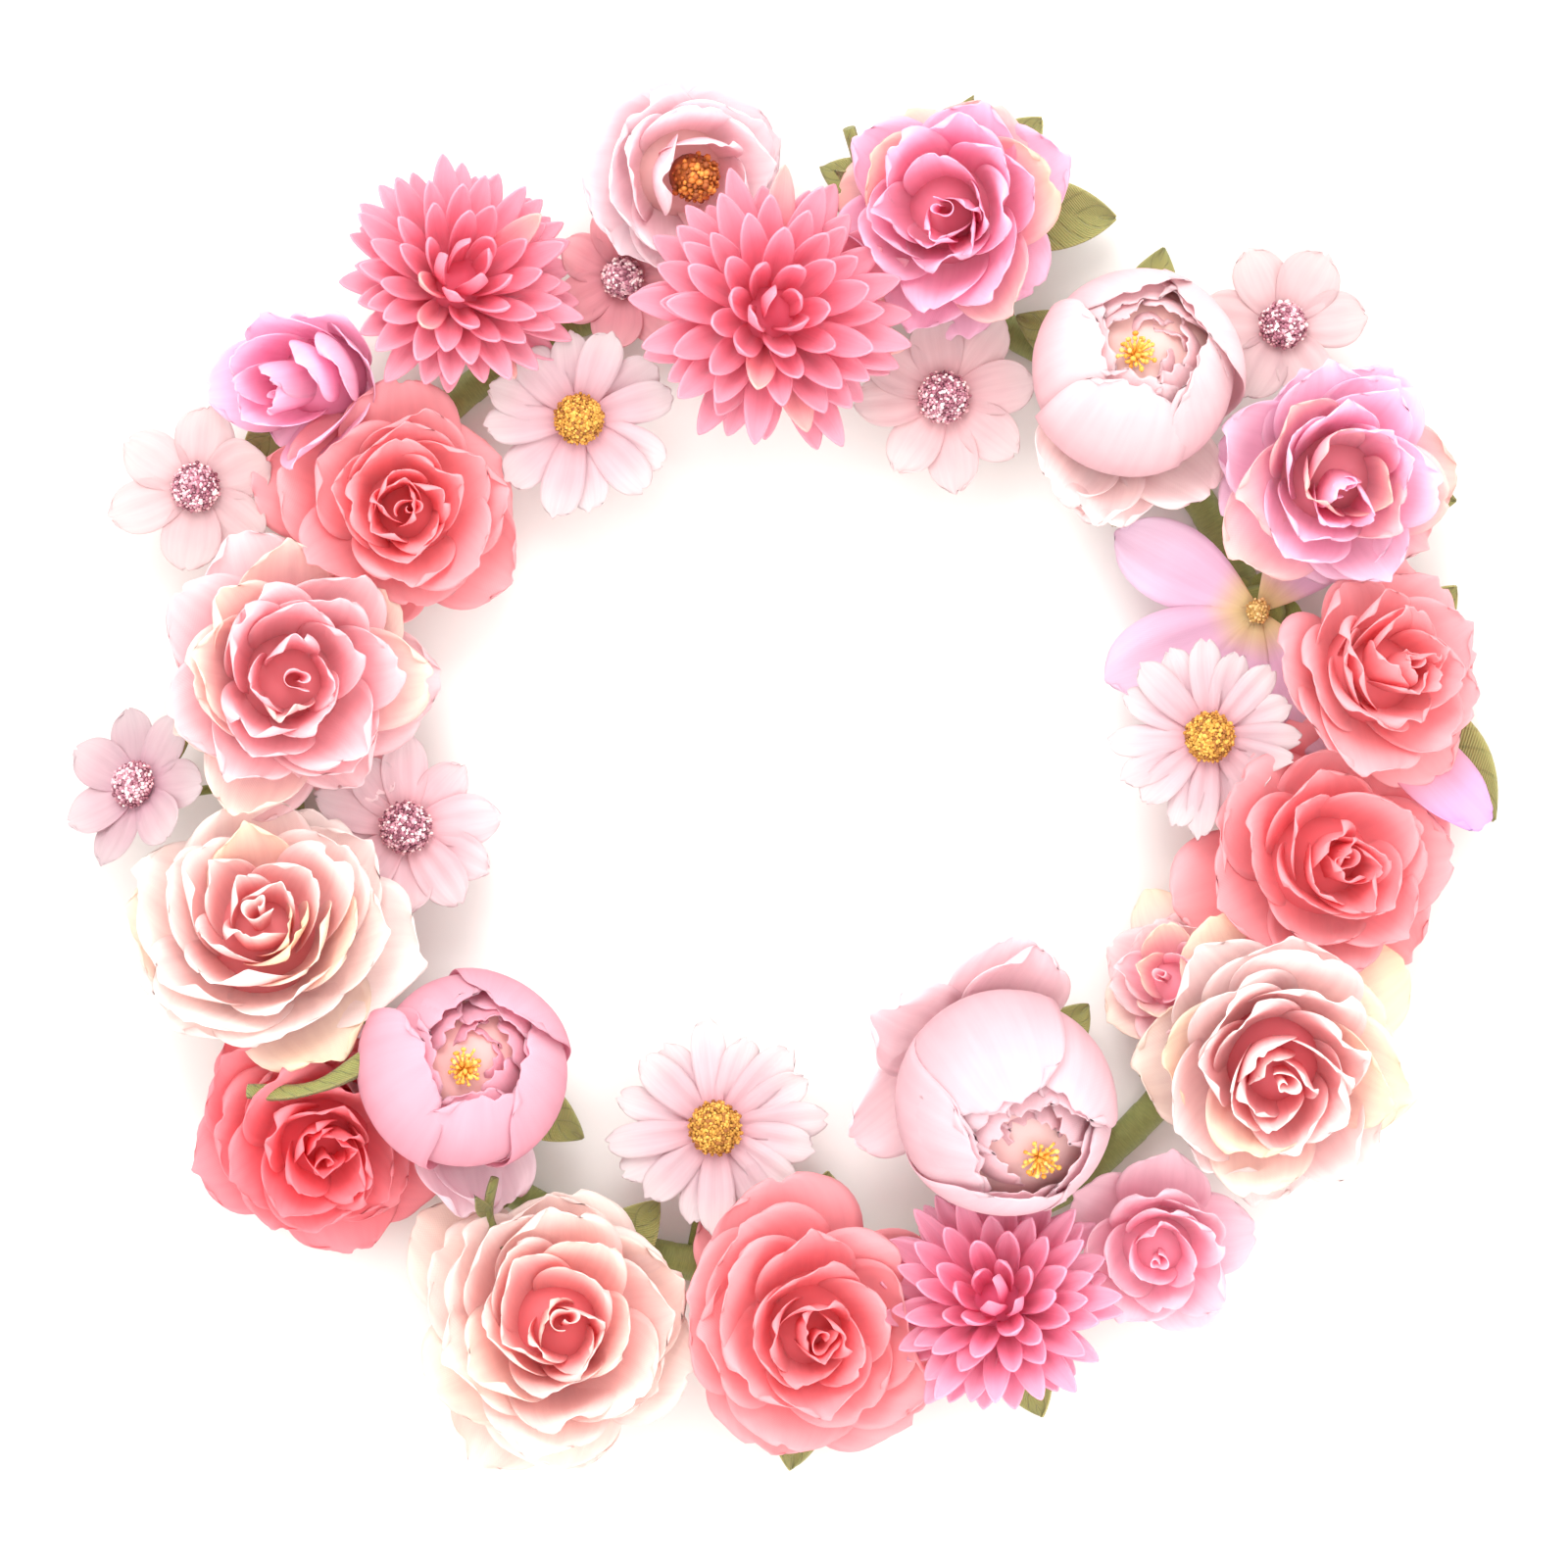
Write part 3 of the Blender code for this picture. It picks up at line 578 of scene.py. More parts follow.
# roses: each ring is count, tip radius and height, petal width, bow, lip, wrap, cup, ruffle, fold.
# radii, widths and ruffles are shares of the flower's half width, heights of its depth.
roseRings = {
    "coralRose": [
        (5, 1.04, -0.1, 1.14, 0.2, 0.4, 0.15, 0.14, 0.075, 0),
        (5, 0.9, 0.1, 1.04, 0.28, 0.45, 0.25, 0.18, 0.07, 0),
        (5, 0.7, 0.26, 0.9, 0.32, 0.4, 0.35, 0.22, 0.06, 0),
        (4, 0.49, 0.36, 0.76, 0.32, 0.3, 0.45, 0.24, 0.05, 0.05),
        (4, 0.31, 0.4, 0.56, 0.3, 0.2, 0.6, 0.2, 0.045, 0.1),
        (3, 0.15, 0.4, 0.4, 0.25, 0.1, 0.8, 0.12, 0.035, 0.15),
    ],
    "creamRose": [
        (6, 1.03, 0, 1.1, 0.42, 0.45, 0.35, 0.16, 0.075, 0),
        (6, 0.92, 0.18, 1, 0.48, 0.35, 0.45, 0.16, 0.065, 0),
        (6, 0.78, 0.32, 0.9, 0.48, 0.25, 0.5, 0.16, 0.06, 0),
        (5, 0.6, 0.38, 0.78, 0.42, 0.15, 0.55, 0.18, 0.055, 0.05),
        (4, 0.42, 0.38, 0.64, 0.36, 0.1, 0.65, 0.18, 0.05, 0.1),
        (4, 0.24, 0.36, 0.46, 0.3, 0.05, 0.8, 0.12, 0.04, 0.15),
    ],
    "blushRose": [
        (7, 1.02, -0.16, 0.84, 0.3, 0.45, 0.25, 0.28, 0.06, 0),
        (7, 0.96, 0.04, 0.84, 0.38, 0.5, 0.3, 0.3, 0.06, 0),
        (6, 0.84, 0.22, 0.84, 0.42, 0.5, 0.35, 0.3, 0.06, 0),
        (6, 0.66, 0.35, 0.76, 0.42, 0.4, 0.45, 0.26, 0.055, 0),
        (5, 0.48, 0.42, 0.64, 0.38, 0.25, 0.55, 0.22, 0.05, 0.08),
        (4, 0.28, 0.42, 0.48, 0.32, 0.12, 0.7, 0.14, 0.045, 0.15),
    ],
    "pinkRose": [
        (7, 1.02, -0.14, 0.9, 0.36, 0.5, 0.3, 0.22, 0.065, 0),
        (6, 0.92, 0.1, 0.9, 0.42, 0.55, 0.35, 0.24, 0.065, 0),
        (6, 0.76, 0.28, 0.84, 0.44, 0.5, 0.4, 0.24, 0.06, 0),
        (5, 0.56, 0.39, 0.74, 0.42, 0.35, 0.5, 0.22, 0.055, 0.05),
        (4, 0.38, 0.43, 0.6, 0.36, 0.2, 0.6, 0.18, 0.05, 0.12),
        (3, 0.2, 0.44, 0.44, 0.3, 0.1, 0.8, 0.1, 0.04, 0.2),
    ],
    "smallRose": [
        (5, 1.02, -0.1, 1.1, 0.36, 0.5, 0.3, 0.2, 0.08, 0),
        (5, 0.84, 0.16, 0.98, 0.42, 0.45, 0.4, 0.2, 0.07, 0),
        (4, 0.6, 0.32, 0.84, 0.4, 0.3, 0.5, 0.2, 0.06, 0.05),
        (3, 0.36, 0.4, 0.64, 0.34, 0.15, 0.65, 0.14, 0.05, 0.15),
    ],
    "openRose": [
        (5, 1.06, -0.1, 1.3, 0.3, 0.35, 0.2, 0.18, 0.075, 0),
        (5, 0.94, 0.14, 1.16, 0.48, 0.4, 0.35, 0.18, 0.075, 0),
        (4, 0.72, 0.34, 1.05, 0.6, 0.3, 0.45, 0.14, 0.08, 0.05),
        (3, 0.46, 0.42, 0.9, 0.62, 0.1, 0.5, 0.1, 0.07, 0.15),
    ],
    "budRose": [
        (5, 0.8, 0.02, 1, 0.6, 0.6, 0.55, 0.14, 0.06, 0),
        (4, 0.7, 0.33, 1.05, 0.6, 0.55, 0.6, 0.14, 0.055, 0),
        (3, 0.46, 0.45, 0.88, 0.5, 0.3, 0.7, 0.14, 0.045, 0.05),
        (3, 0.24, 0.46, 0.6, 0.4, 0.12, 0.9, 0.1, 0.035, 0.15),
    ],
}


# heading, reach, width and height in half widths, share of the accent dye
loosePetals = {
    "cream_rose_bottom": [
        (165, 1.32, 1, -0.4, 0.6), (208, 1.22, 0.9, -0.4, 0.3), (-70, 1.14, 0.8, -0.4, 0),
    ],
    "cream_rose_lower_right": [(22, 1.34, 0.9, -0.4, 1), (108, 1.18, 0.8, -0.4, 0.8)],
    "coral_rose_upper_left": [(192, 1.3, 0.9, -0.4, 0)],
    "coral_rose_right": [(176, 1.24, 0.9, -0.4, 0), (124, 1.16, 0.8, -0.4, 0)],
    "coral_rose_outer_right": [(-80, 1.66, 0.8, 0.1, 1)],
    "coral_rose_lower_left": [(162, 1.16, 0.8, -0.4, 0), (-38, 1.12, 0.8, -0.4, 0)],
    "coral_rose_bottom": [
        (34, 1.14, 0.8, -0.4, 0), (-42, 1.16, 0.8, -0.4, 0), (148, 1.08, 0.7, -0.55, 0),
    ],
    "small_rose_right": [(118, 1.42, 0.8, -0.4, 1)],
}


# rings of petals from the outside in, each sheared a little off the axis, round a rolled heart
def roseHead(name, half, depth, rng):
    kind = flowers[name][0]
    rings = roseRings[kind]
    sheets = []
    for index, (count, tipR, tipZ, width, bow, lip, wrap, cup, ruffle, fold) in enumerate(rings):
        inner = index / (len(rings) - 1)
        sheet = petalRing(
            count, rng, jitter=0.13, start=golden * index * 1.3 + rng.uniform(0, 0.4), rows=15, columns=15,
            rootR=0.05 * half, rootZ=depth * (0.12 * inner - 0.44), tipR=tipR * half, tipZ=tipZ * depth,
            width=width * half, bow=bow, lip=lip, wrap=wrap, cup=cup, ruffle=ruffle * half,
            waves=3.5 + inner, neck=0.28, widest=0.64, taper=0.60, round=0.11,
            tuck=0.06 * half, notch=0.045, jag=0.011, teeth=6.0, fold=fold, roll=0.16 - 0.10 * inner,
            layer=inner,
        )
        lean = rng.uniform(-0.16, 0.16, 2) * inner
        points = sheet["points"]
        points[..., :2] += lean * (points[..., 2:] + 0.3 * depth)
        strong = (rng.uniform(0, 1, count) > 0.75) * rng.uniform(0.4, 1.0, count)
        sheet["accent"] = strong * (kind != "coralRose")
        sheets.append(sheet)
    for heading, reach, width, height, accent in loosePetals.get(name, []):
        sheets.append(petalRing(
            1, rng, start=math.radians(heading - flowers[name][8]), rows=15, columns=15, rootR=0.05 * half,
            rootZ=-0.46 * depth, tipR=reach * half, tipZ=height * half, width=width * half, bow=0.25,
            wrap=0.1, ruffle=0.07 * half, waves=4.0, widest=0.66, taper=0.6, round=0.1,
            roll=0.1, notch=0.02, layer=0.0, accent=accent,
        ))
    if kind != "openRose":
        sheets.append(rolledHeart(half, depth, rng))
    sheets.append(cushion(roseCore, half, depth))
    return sheets


# what the petals are glued to, a turned form in the heart's dye. Radii are shares of half, heights of tall
def cushion(profile, half, tall):
    sheet = turned(np.array(profile) * (half, tall), sides=28)
    sheet["uv"] = np.full_like(sheet["uv"], 0.3)
    return {**sheet, "layer": 1.0, "shade": 0.9, "accent": 0.0}


roseCore = [
    (0.01, -0.45), (0.2, -0.44), (0.42, -0.38), (0.5, -0.28), (0.44, -0.15), (0.3, -0.04), (0.15, 0.04),
    (0.01, 0.06),
]
dahliaCore = [
    (0.01, -0.3), (0.16, -0.28), (0.26, -0.2), (0.27, -0.1), (0.2, 0), (0.1, 0.07), (0.01, 0.09),
]
peonyCore = [
    (0.01, -0.8), (0.3, -0.76), (0.62, -0.52), (0.8, -0.1), (0.8, 0.22), (0.66, 0.46), (0.4, 0.61),
    (0.14, 0.65), (0.01, 0.65),
]


# a strip rolled to a loose, uneven cone: radius = (core + growth s) * flare, with a wavy top edge
def rolledHeart(half, depth, rng, turns=1.15):
    s = np.linspace(0, 1, 44)[None, None, :]
    v = np.linspace(0, 1, 9)[None, :, None]
    angle = 2 * np.pi * turns * s + rng.uniform(0, 6)
    radius = half * (0.02 + 0.055 * s) * (1 + 0.6 * v**3)
    wobble = 1 + 0.30 * np.sin(2.0 * angle + 2 * v) * v
    top = depth * (0.35 - 0.07 * s + 0.03 * np.sin(2.3 * angle))
    height = -0.25 * depth + (top + 0.25 * depth) * v
    uv = np.stack(np.broadcast_arrays(s, v), -1)
    points = polar(radius * wobble, angle, height)
    return {"points": points, "uv": uv, "layer": 1.0, "shade": 0.8, "accent": 0.0}


dahlia = {"petals": 78, "spread": 104, "crowding": 0.60, "thick": 0.45}


# pointed boats on a golden-angle spiral: polar angle = spread * t^crowding, tips on an ellipsoid
def dahliaHead(half, depth, rng):
    count = dahlia["petals"]
    t, turn = spiral(count)
    tip = math.radians(dahlia["spread"]) * t ** dahlia["crowding"]
    vary = rng.uniform(-1, 1, (5, count))
    reach = 1 + 0.10 * vary[0]
    shape = petalShape(
        count, rootR=0.10 * half * np.sin(tip),
        rootZ=depth * (-0.26 + 0.10 * np.cos(tip)),
        tipR=half * reach * (0.03 + 0.97 * np.sin(np.minimum(tip, 1.62)) ** 1.1),
        tipZ=depth * (0.53 * np.cos(tip) * reach - 0.03),
        width=half * (0.205 + 0.055 * t) * (1 + 0.10 * vary[1]),
        bow=0.34 - 0.30 * t + 0.08 * vary[2],
        lip=-0.35 + 0.55 * t + 0.12 * vary[3],
        turn=turn + 0.10 * vary[4],
        phase=rng.uniform(0, 6.28, count), neck=0.45, full=0.9, widest=0.60, taper=0.95, blunt=0.75,
        round=0.0, wrap=0.0, cup=0.30, fold=0.28,
    )
    sheet = petals(shape, rows=11, columns=7)
    sheet["layer"] = np.clip(1.1 - 1.6 * t, 0, 1) * 0.6
    sheet["shade"] = rng.uniform(0, 1, count)
    sheet["accent"] = (rng.uniform(0, 1, count) > 0.9) * 0.6
    return [sheet, cushion(dahliaCore, half, depth)]


peonies = {  # heading of the stamens in the opening, headings of the loose petals under the globe
    "peony_upper_right": {"gap": 215, "loose": (215, 262, 290, 330)},
    "peony_lower_right": {"gap": 300, "loose": (178, 222, 82, 46, 0)},
    "peony_lower_left": {"gap": 235, "loose": (320, 300, 190, 45)},
}


# deep cupped petals that close to a globe, inner ones that lean over one side, and loose ones below
def peonyHead(name, half, rng):
    sheets = []
    spin = flowers[name][8]
    gap = math.radians(peonies[name]["gap"] - spin)
    rings = [  # count, span, tip radius, tip height, width, bow, ragged tip, ruffle, size, layer
        (5, 360, 0.42, 0.86, 1.60, 1.26, 0.006, 0.020, 1.00, 0.0),
        (5, 360, 0.38, 0.84, 1.50, 1.22, 0.008, 0.030, 0.94, 0.2),
        (4, 250, 0.26, 0.90, 1.10, 1.12, 0.010, 0.040, 0.87, 0.7),
        (3, 200, 0.14, 0.90, 0.90, 1.02, 0.012, 0.050, 0.79, 0.9),
        (2, 120, 0.04, 0.86, 0.70, 0.90, 0.012, 0.050, 0.70, 1.0),
    ]
    for count, span, tipR, tipZ, width, bow, torn, ruffle, size, layer in rings:
        turn = math.radians(span)
        sheets.append(petalRing(
            count, rng, jitter=0.08, start=gap + math.pi - turn / 2 + turn / count / 2, span=turn,
            rows=19, columns=19, rootR=0.10 * half, rootZ=-0.92 * half * size, tipR=tipR * half,
            tipZ=tipZ * half * size, width=width * half, bow=bow, lip=0.10, wrap=1.0, cup=0.0,
            ruffle=ruffle * half, neck=0.35, widest=0.50, taper=0.55, round=0.10, jag=torn,
            teeth=11.0, notch=0.02, tuck=0.05 * half, layer=layer, accent=0.0,
        ))
    # the loose petals lie in the globe's shade: accent 3 lays the pale accent dye over most of each one, a
    # painted light that lifts them
    for heading in peonies[name]["loose"]:
        sheets.append(petalRing(
            1, rng, start=math.radians(heading - spin), rows=17, columns=17, rootR=0.1 * half,
            rootZ=-0.95 * half, tipR=1.16 * half, tipZ=-0.50 * half, width=0.90 * half, bow=0.35, lip=0.5,
            wrap=0.2, cup=0.2, ruffle=0.10 * half, neck=0.35, widest=0.62, taper=0.55, round=0.1,
            notch=0.04, jag=0.006, teeth=13.0, layer=0.0, accent=3.0,
        ))
    sheets.append(cushion(peonyCore, half, half))
    return sheets


flat = {  # petals, and their width as a share of the flower's half width
    "daisy_right": (16, 0.37), "daisy_bottom": (16, 0.37), "daisy_upper_left": (12, 0.46),
    "cosmos_top": (8, 0.60), "cosmos_upper_right": (6, 0.72), "cosmos_inner_left": (10, 0.56),
    "cosmos_outer_left": (7, 0.62), "cosmos_upper_left": (6, 0.70), "cosmos_small_top": (7, 0.72),
}


# one or two rings of nearly level petals, creased along, some raised and some low
def flatHead(name, half, rng):
    count, width = flat[name]
    isDaisy = name.startswith("daisy")
    rings = 2 if count > 8 else 1
    sheets = []
    for ring in range(rings):
        part = count // rings
        sheets.append(petalRing(
            part, rng, jitter=0.07, start=2 * np.pi * ring / count, rows=17, columns=13,
            rootR=0.07 * half, rootZ=(-0.6 * ring - 1.0) * mm, tipR=half * (1.04 - 0.04 * ring),
            tipZ=(1.6 - 1.2 * ring) * mm, width=width * half, bow=0.16, lip=0.10, wrap=0.0, cup=0.10,
            ruffle=0.020 * half, waves=3.5, neck=0.28, widest=0.70 if isDaisy else 0.62, full=0.9,
            taper=0.52 if isDaisy else 0.74, round=0.08, jag=0.010 if isDaisy else 0.004, teeth=5.0,
            notch=0.05, groove=0.016 * half, grooves=2.0 if isDaisy else 2.6, tuck=0.03 * half,
            layer=0.12 * ring, accent=0.0,
        ))
    return sheets


lilac = {"headings": (163, 194, 238, 300, 60), "length": 30, "width": 15}


# five long loose petals round a small throat
def lilacHead(rng):
    return [
        petalRing(
            1, rng, start=math.radians(heading), rows=17, columns=13, rootR=1.2 * mm, rootZ=-1.0 * mm,
            tipR=lilac["length"] * mm, tipZ=2.2 * mm, width=lilac["width"] * mm, bow=0.22, lip=0.15,
            wrap=0.0, cup=0.16, ruffle=0.7 * mm, neck=0.16, widest=0.60, full=1.0, taper=0.80, round=0.06,
            groove=0.4 * mm, grooves=2.0, jitter=0.03, layer=0.0, accent=0.0,
        )
        for heading in lilac["headings"]
    ]


thinCloth, roseCloth = 0.22 * mm, 0.15 * mm      # thicknesses


def makePetals(name, rng):
    kind, _, _, _, width, depth, *_ = flowers[name]
    half, depth = width * mm / 2, depth * mm
    if kind == "dahlia":
        return dahliaHead(half, depth, rng), dahlia["thick"] * mm
    if kind == "peony":
        return peonyHead(name, half, rng), thinCloth
    if kind in ("cosmos", "daisy"):
        return flatHead(name, half, rng), thinCloth
    if kind == "lilac":
        return lilacHead(rng), thinCloth
    return roseHead(name, half, depth, rng), roseCloth


# dyes of a petal at its root, body and edge, in the heart of the flower, and an accent on some petals. On the
# peonies the accent is painted light, laid on the loose petals that lie in the globe's shade
dyes = {
    "dahlia": "#FF8CA8 #FCB0C4 #FAC0D0 #FF86A2 #FBDCC4",
    "dahliaCool": "#FF8EB8 #FFB6D0 #FCC8DC #FF88B2 #FCC2DA",
    "coral": "#FFA0A8 #FFB6BC #FDC2C6 #FF8890",
    "coralOuter": "#FFAAB0 #FFBEC2 #FDC8CC #FF8C94 #E3BCEC",
    "coralDeep": "#FF828E #FF9AA4 #FBA8B0 #FF6875",
    "brightPink": "#FFB8D0 #FFCEE4 #FED8EC #FF9EB6 #FFDCC2",
    "lilacPink": "#FFC0D6 #FFDAEE #FEE4F4 #FFB0B8 #FFD8C2",
    "bud": "#FFC2DE #FFD6EA #FEDCEE #FFB8D6",
    "blush": "#FFC8D0 #FFDDE2 #FEE6E8 #FFA4AC #FEF1E2",
    "creamCoral": "#FFB4BA #FFF4F1 #FFF7F4 #FF8C98 #FEF1D6",
    "creamPink": "#FFB2B4 #FFECE6 #FEF3EC #FF868E #FEF1E4",
    "creamPale": "#FFC0C0 #FFF6F2 #FFF8F3 #FF9CA2 #FEEDCC",
    "openRose": "#FFDEE4 #FFF0F3 #FEF6F8 #FFE0D6",
    "smallPink": "#FFC4D6 #FFDAE6 #FEE4EC #FFB4CA",
    "smallMauve": "#FFC8D6 #FFE2E8 #FEE9E9 #FFAABC #FEF1DC",
    # the peonies' last colour is painted light for their shaded loose petals
    "peonyBlush": "#FADADD #F4D6DA #F6E0E2 #FFE6DA #FFF2F0",
    "peonyPale": "#F9D6DC #F1D1D7 #F4DCE1 #FFE6DE #FFEDF0",
    "peonyLilac": "#F9BECF #F0B6C6 #F1C3D1 #FFDCCE #FFEEF4",
    "cosmosDusty": "#EEBBC0 #EACFD0 #EADBDA #DF99AB",
    "cosmosPink": "#F0BAC2 #ECCFD4 #ECDCDE #E2A4B8",
    "cosmosPale": "#EAC4C7 #E5CFCF #E5D6D4 #D892A4",
    "cosmosLilac": "#E2B2C2 #D8BEC4 #DACCCE #D28A93",
    "cosmosLow": "#E2949F #EBADB5 #F0C2C6 #D08497",
    "daisy": "#F0BAC2 #E8D1D6 #E8DFDF #EAB4BB",
    "lilac": "#F0DCA6 #EFCCE2 #F0DAEA #E1BBE1",
}
rootReach = {"lilac": 0.30}      # how far along a petal the root's dye has gone, 0.5 on the others
dyeOf = {                        # the others have their kind's own dye
    "dahlia_bottom": "dahliaCool", "pink_rose_top": "brightPink", "pink_rose_right": "lilacPink",
    "cream_rose_lower_right": "creamCoral", "cream_rose_bottom": "creamPink", "cream_rose_left": "creamPale",
    "coral_rose_lower_left": "coralDeep", "coral_rose_outer_right": "coralOuter",
    "small_rose_right": "smallMauve", "small_rose_lower_right": "smallPink",
    "bud_rose_upper_left": "bud", "blush_rose_left": "blush", "peony_upper_right": "peonyBlush",
    "peony_lower_right": "peonyPale", "peony_lower_left": "peonyLilac", "cosmos_top": "cosmosDusty",
    "cosmos_inner_left": "cosmosPink", "cosmos_upper_right": "cosmosPale", "cosmos_upper_left": "cosmosPale",
    "cosmos_outer_left": "cosmosLilac", "cosmos_small_top": "cosmosLow",
}


# a slot name for a kind of flower: openRose -> open_rose_cloth
def slotOf(kind):
    return "".join("_" + letter.lower() if letter.isupper() else letter for letter in kind) + "_cloth"


# hearts: granules of glitter or flock on a dome, and a peony's tuft of stamens
hearts = {
    "daisy": {"share": 0.26, "rise": 0.10, "beads": 300, "bead": 0.42, "lift": 0.6},
    "cosmos": {"share": 0.29, "rise": 0.12, "beads": 280, "bead": 0.42, "lift": 0.6},
    "lilac": {"share": 0.09, "rise": 0.03, "beads": 46, "bead": 0.38, "lift": 0.5},
    "openRose": {"share": 0.24, "rise": 0.14, "beads": 90, "bead": 0.60, "lift": 3.0},
}
stamens = {"count": 30, "length": 0.21, "thread": 0.30, "tip": 0.54, "base": 0.61, "aside": 0.20}


# beads on a golden-angle dome: radius = share sqrt(t), height = rise (1 - t), over a plain cushion
def domeHeart(kind, half, rng):
    facts = hearts[kind]
    count = facts["beads"]
    t, angle = spiral(count)
    radius, rise = facts["share"] * half, facts["rise"] * 2 * half
    vary = rng.uniform(-1, 1, (3, count)) * facts["bead"] * mm * 0.35
    places = polar(radius * np.sqrt(t), angle, rise * (1 - t**1.4)) + vary.T
    places[:, 2] += facts["lift"] * mm
    sizes = facts["bead"] * mm * rng.uniform(0.6, 1.15, count)
    granules = beads(places, sizes, rng)
    granules["layer"] = t
    s = np.linspace(0, 1, 9)
    level = facts["lift"] * mm + 0.93 * rise * (1 - (1 - s) ** 2.8)
    dome = np.stack([0.96 * radius * (1 - s), level], 1)
    core = turned(np.concatenate([[(0.9 * radius, 0.0)], dome[:-1], [(poleRadius, level[-1])]]))
    core["shade"] = 0.15
    return [granules, core]


# threads from one root, each leaning out by its own angle and curling back, with an anther on its tip
def stamenTuft(half, gap, rng):
    count = stamens["count"]
    t, turn = (part[:, None] for part in spiral(count))
    lean = 0.95 * np.sqrt(t)
    s = np.linspace(0, 1, 7)[None]
    length = stamens["length"] * half * rng.uniform(0.75, 1.15, (count, 1))
    curl = lean * (0.4 + 0.6 * s)
    paths = polar(length * np.sin(curl) * s, turn, length * np.cos(curl) * s)
    paths = paths + polar(stamens["aside"] * half, gap, stamens["base"] * half)
    threads = tubes(paths, stamens["thread"] * mm / 2 * 1.6, sides=5)
    threads["layer"], threads["shade"] = 0.0, rng.uniform(0, 1, count)
    anthers = beads(paths[:, -1], stamens["tip"] * mm * rng.uniform(0.7, 1.1, count), rng)
    anthers["layer"] = 1.0
    return [threads, anthers]


# grains of a few colours, picked by each grain's own number, with a fine grit over them
def flockCloth(name, stops, roughness, glitter=0.0):
    g = Graph(name)
    shade, layer = g.attribute("shade"), g.attribute("layer")
    grit = g.noise(g.objectPlace(), 5200.0, 2.0)
    picked = g.math("ADD", shade, g.times(g.math("SUBTRACT", grit, 0.5), 0.25), clamp=True)
    colour = g.ramp(picked, [(place, srgb(colour)) for place, colour in stops])
    rim = g.ramp(layer, [(0.6, white), (1.0, (0.86, 0.66, 0.62, 1))])
    colour = g.mix(0.7, colour, rim, "MULTIPLY")
    normal = g.bump(grit, 0.00012, 0.8)
    return g.finish(colour, Normal=normal, Roughness=roughness, Coat_Weight=glitter)


def makeHeart(name, rng, cloths):
    kind, *_, spin = flowers[name]
    half = flowers[name][4] * mm / 2
    if kind == "peony":
        sheets = stamenTuft(half, math.radians(peonies[name]["gap"] - spin), rng)
    else:
        sheets = domeHeart(kind, half, rng)
    node = name + "_heart" if name + "_heart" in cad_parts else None
    slotName = {"peony": "peony_stamens", "openRose": "open_rose_cloth"}.get(kind, kind + "_heart")
    makePiece(name + "_heart_grains", settle(name, sheets, press=False), cloths[kind], 0.0, node, slotName)


# leaves: heading and length from the stem of each leaf on a collar
leaves = {
    "pink_rose_top": [(160, 24), (74, 22), (47, 25), (2, 31)],
    "peony_upper_right": [(79, 24), (148, 23), (264, 27)],
    "pink_rose_right": [(-8, 23)],
    "coral_rose_outer_right": [(49, 20), (278, 20), (-54, 34)],
    "cream_rose_lower_right": [(187, 24), (6, 20)],
    "peony_lower_right": [(149, 22), (47, 23)],
    "dahlia_bottom": [(-68, 24), (156, 21)],
    "coral_rose_bottom": [(80, 28), (108, 23), (260, 26)],
    "cream_rose_bottom": [(54, 27), (112, 22)],
    "coral_rose_lower_left": [(65, 18), (130, 20)],
    "peony_lower_left": [(-31, 24), (-80, 26)],
    "cream_rose_left": [(266, 24)],
    "cosmos_outer_left": [(93, 13), (55, 15)],
    "bud_rose_upper_left": [(275, 18), (233, 17)],
}
leaf = {"width": 0.44, "level": 6.8, "tipLevel": 8.5, "thick": 0.35, "collar": 2.6}
sprigs = {  # cut stem ends: start and end in mm from the wire's middle, radius, number of bracts
    "pink_rose_top": ((11, 97, 8), (12, 119, 17), 0.9, 3),
    "coral_rose_lower_left": ((-98, -58, 28), (-76, -52, 32), 1.6, 0),
    "peony_lower_left": ((-53, -74, 26), (-50, -88, 21), 0.9, 2),
}
sprig = {"bend": 2.5, "bract": 7.5}


# a bent stem that thickens to its cut end, with pointed bracts part of the way up
def sprigSheets(name, rng):
    low, high, radius, bracts = sprigs[name]
    low, high = ringMiddle + np.array(low) * mm, ringMiddle + np.array(high) * mm
    s = np.linspace(0, 1, 12)[:, None]
    along = high - low
    aside = np.cross(along, [0, 0, 1.0])
    aside *= sprig["bend"] * mm / np.linalg.norm(aside)
    path = low + along * s + aside * np.sin(np.pi * s)
    radii = radius * mm * (0.75 + 0.4 * s[:, 0] ** 4 + 0.12 * np.sin(9 * s[:, 0]))
    sheets = [tubes([path], [radii])]
    if bracts == 0:
        return sheets
    sheet = petalRing(
        bracts, rng, rows=9, columns=5, rootR=0.4 * mm, rootZ=0.0, tipR=0.75 * sprig["bract"] * mm,
        tipZ=0.65 * sprig["bract"] * mm, width=0.36 * sprig["bract"] * mm, bow=0.2, lip=0.2, wrap=0.1,
        taper=0.97, blunt=0.9, widest=0.4, fold=0.3,
    )
    sheet["points"] = sheet["points"] + path[6]
    return sheets + [sheet]
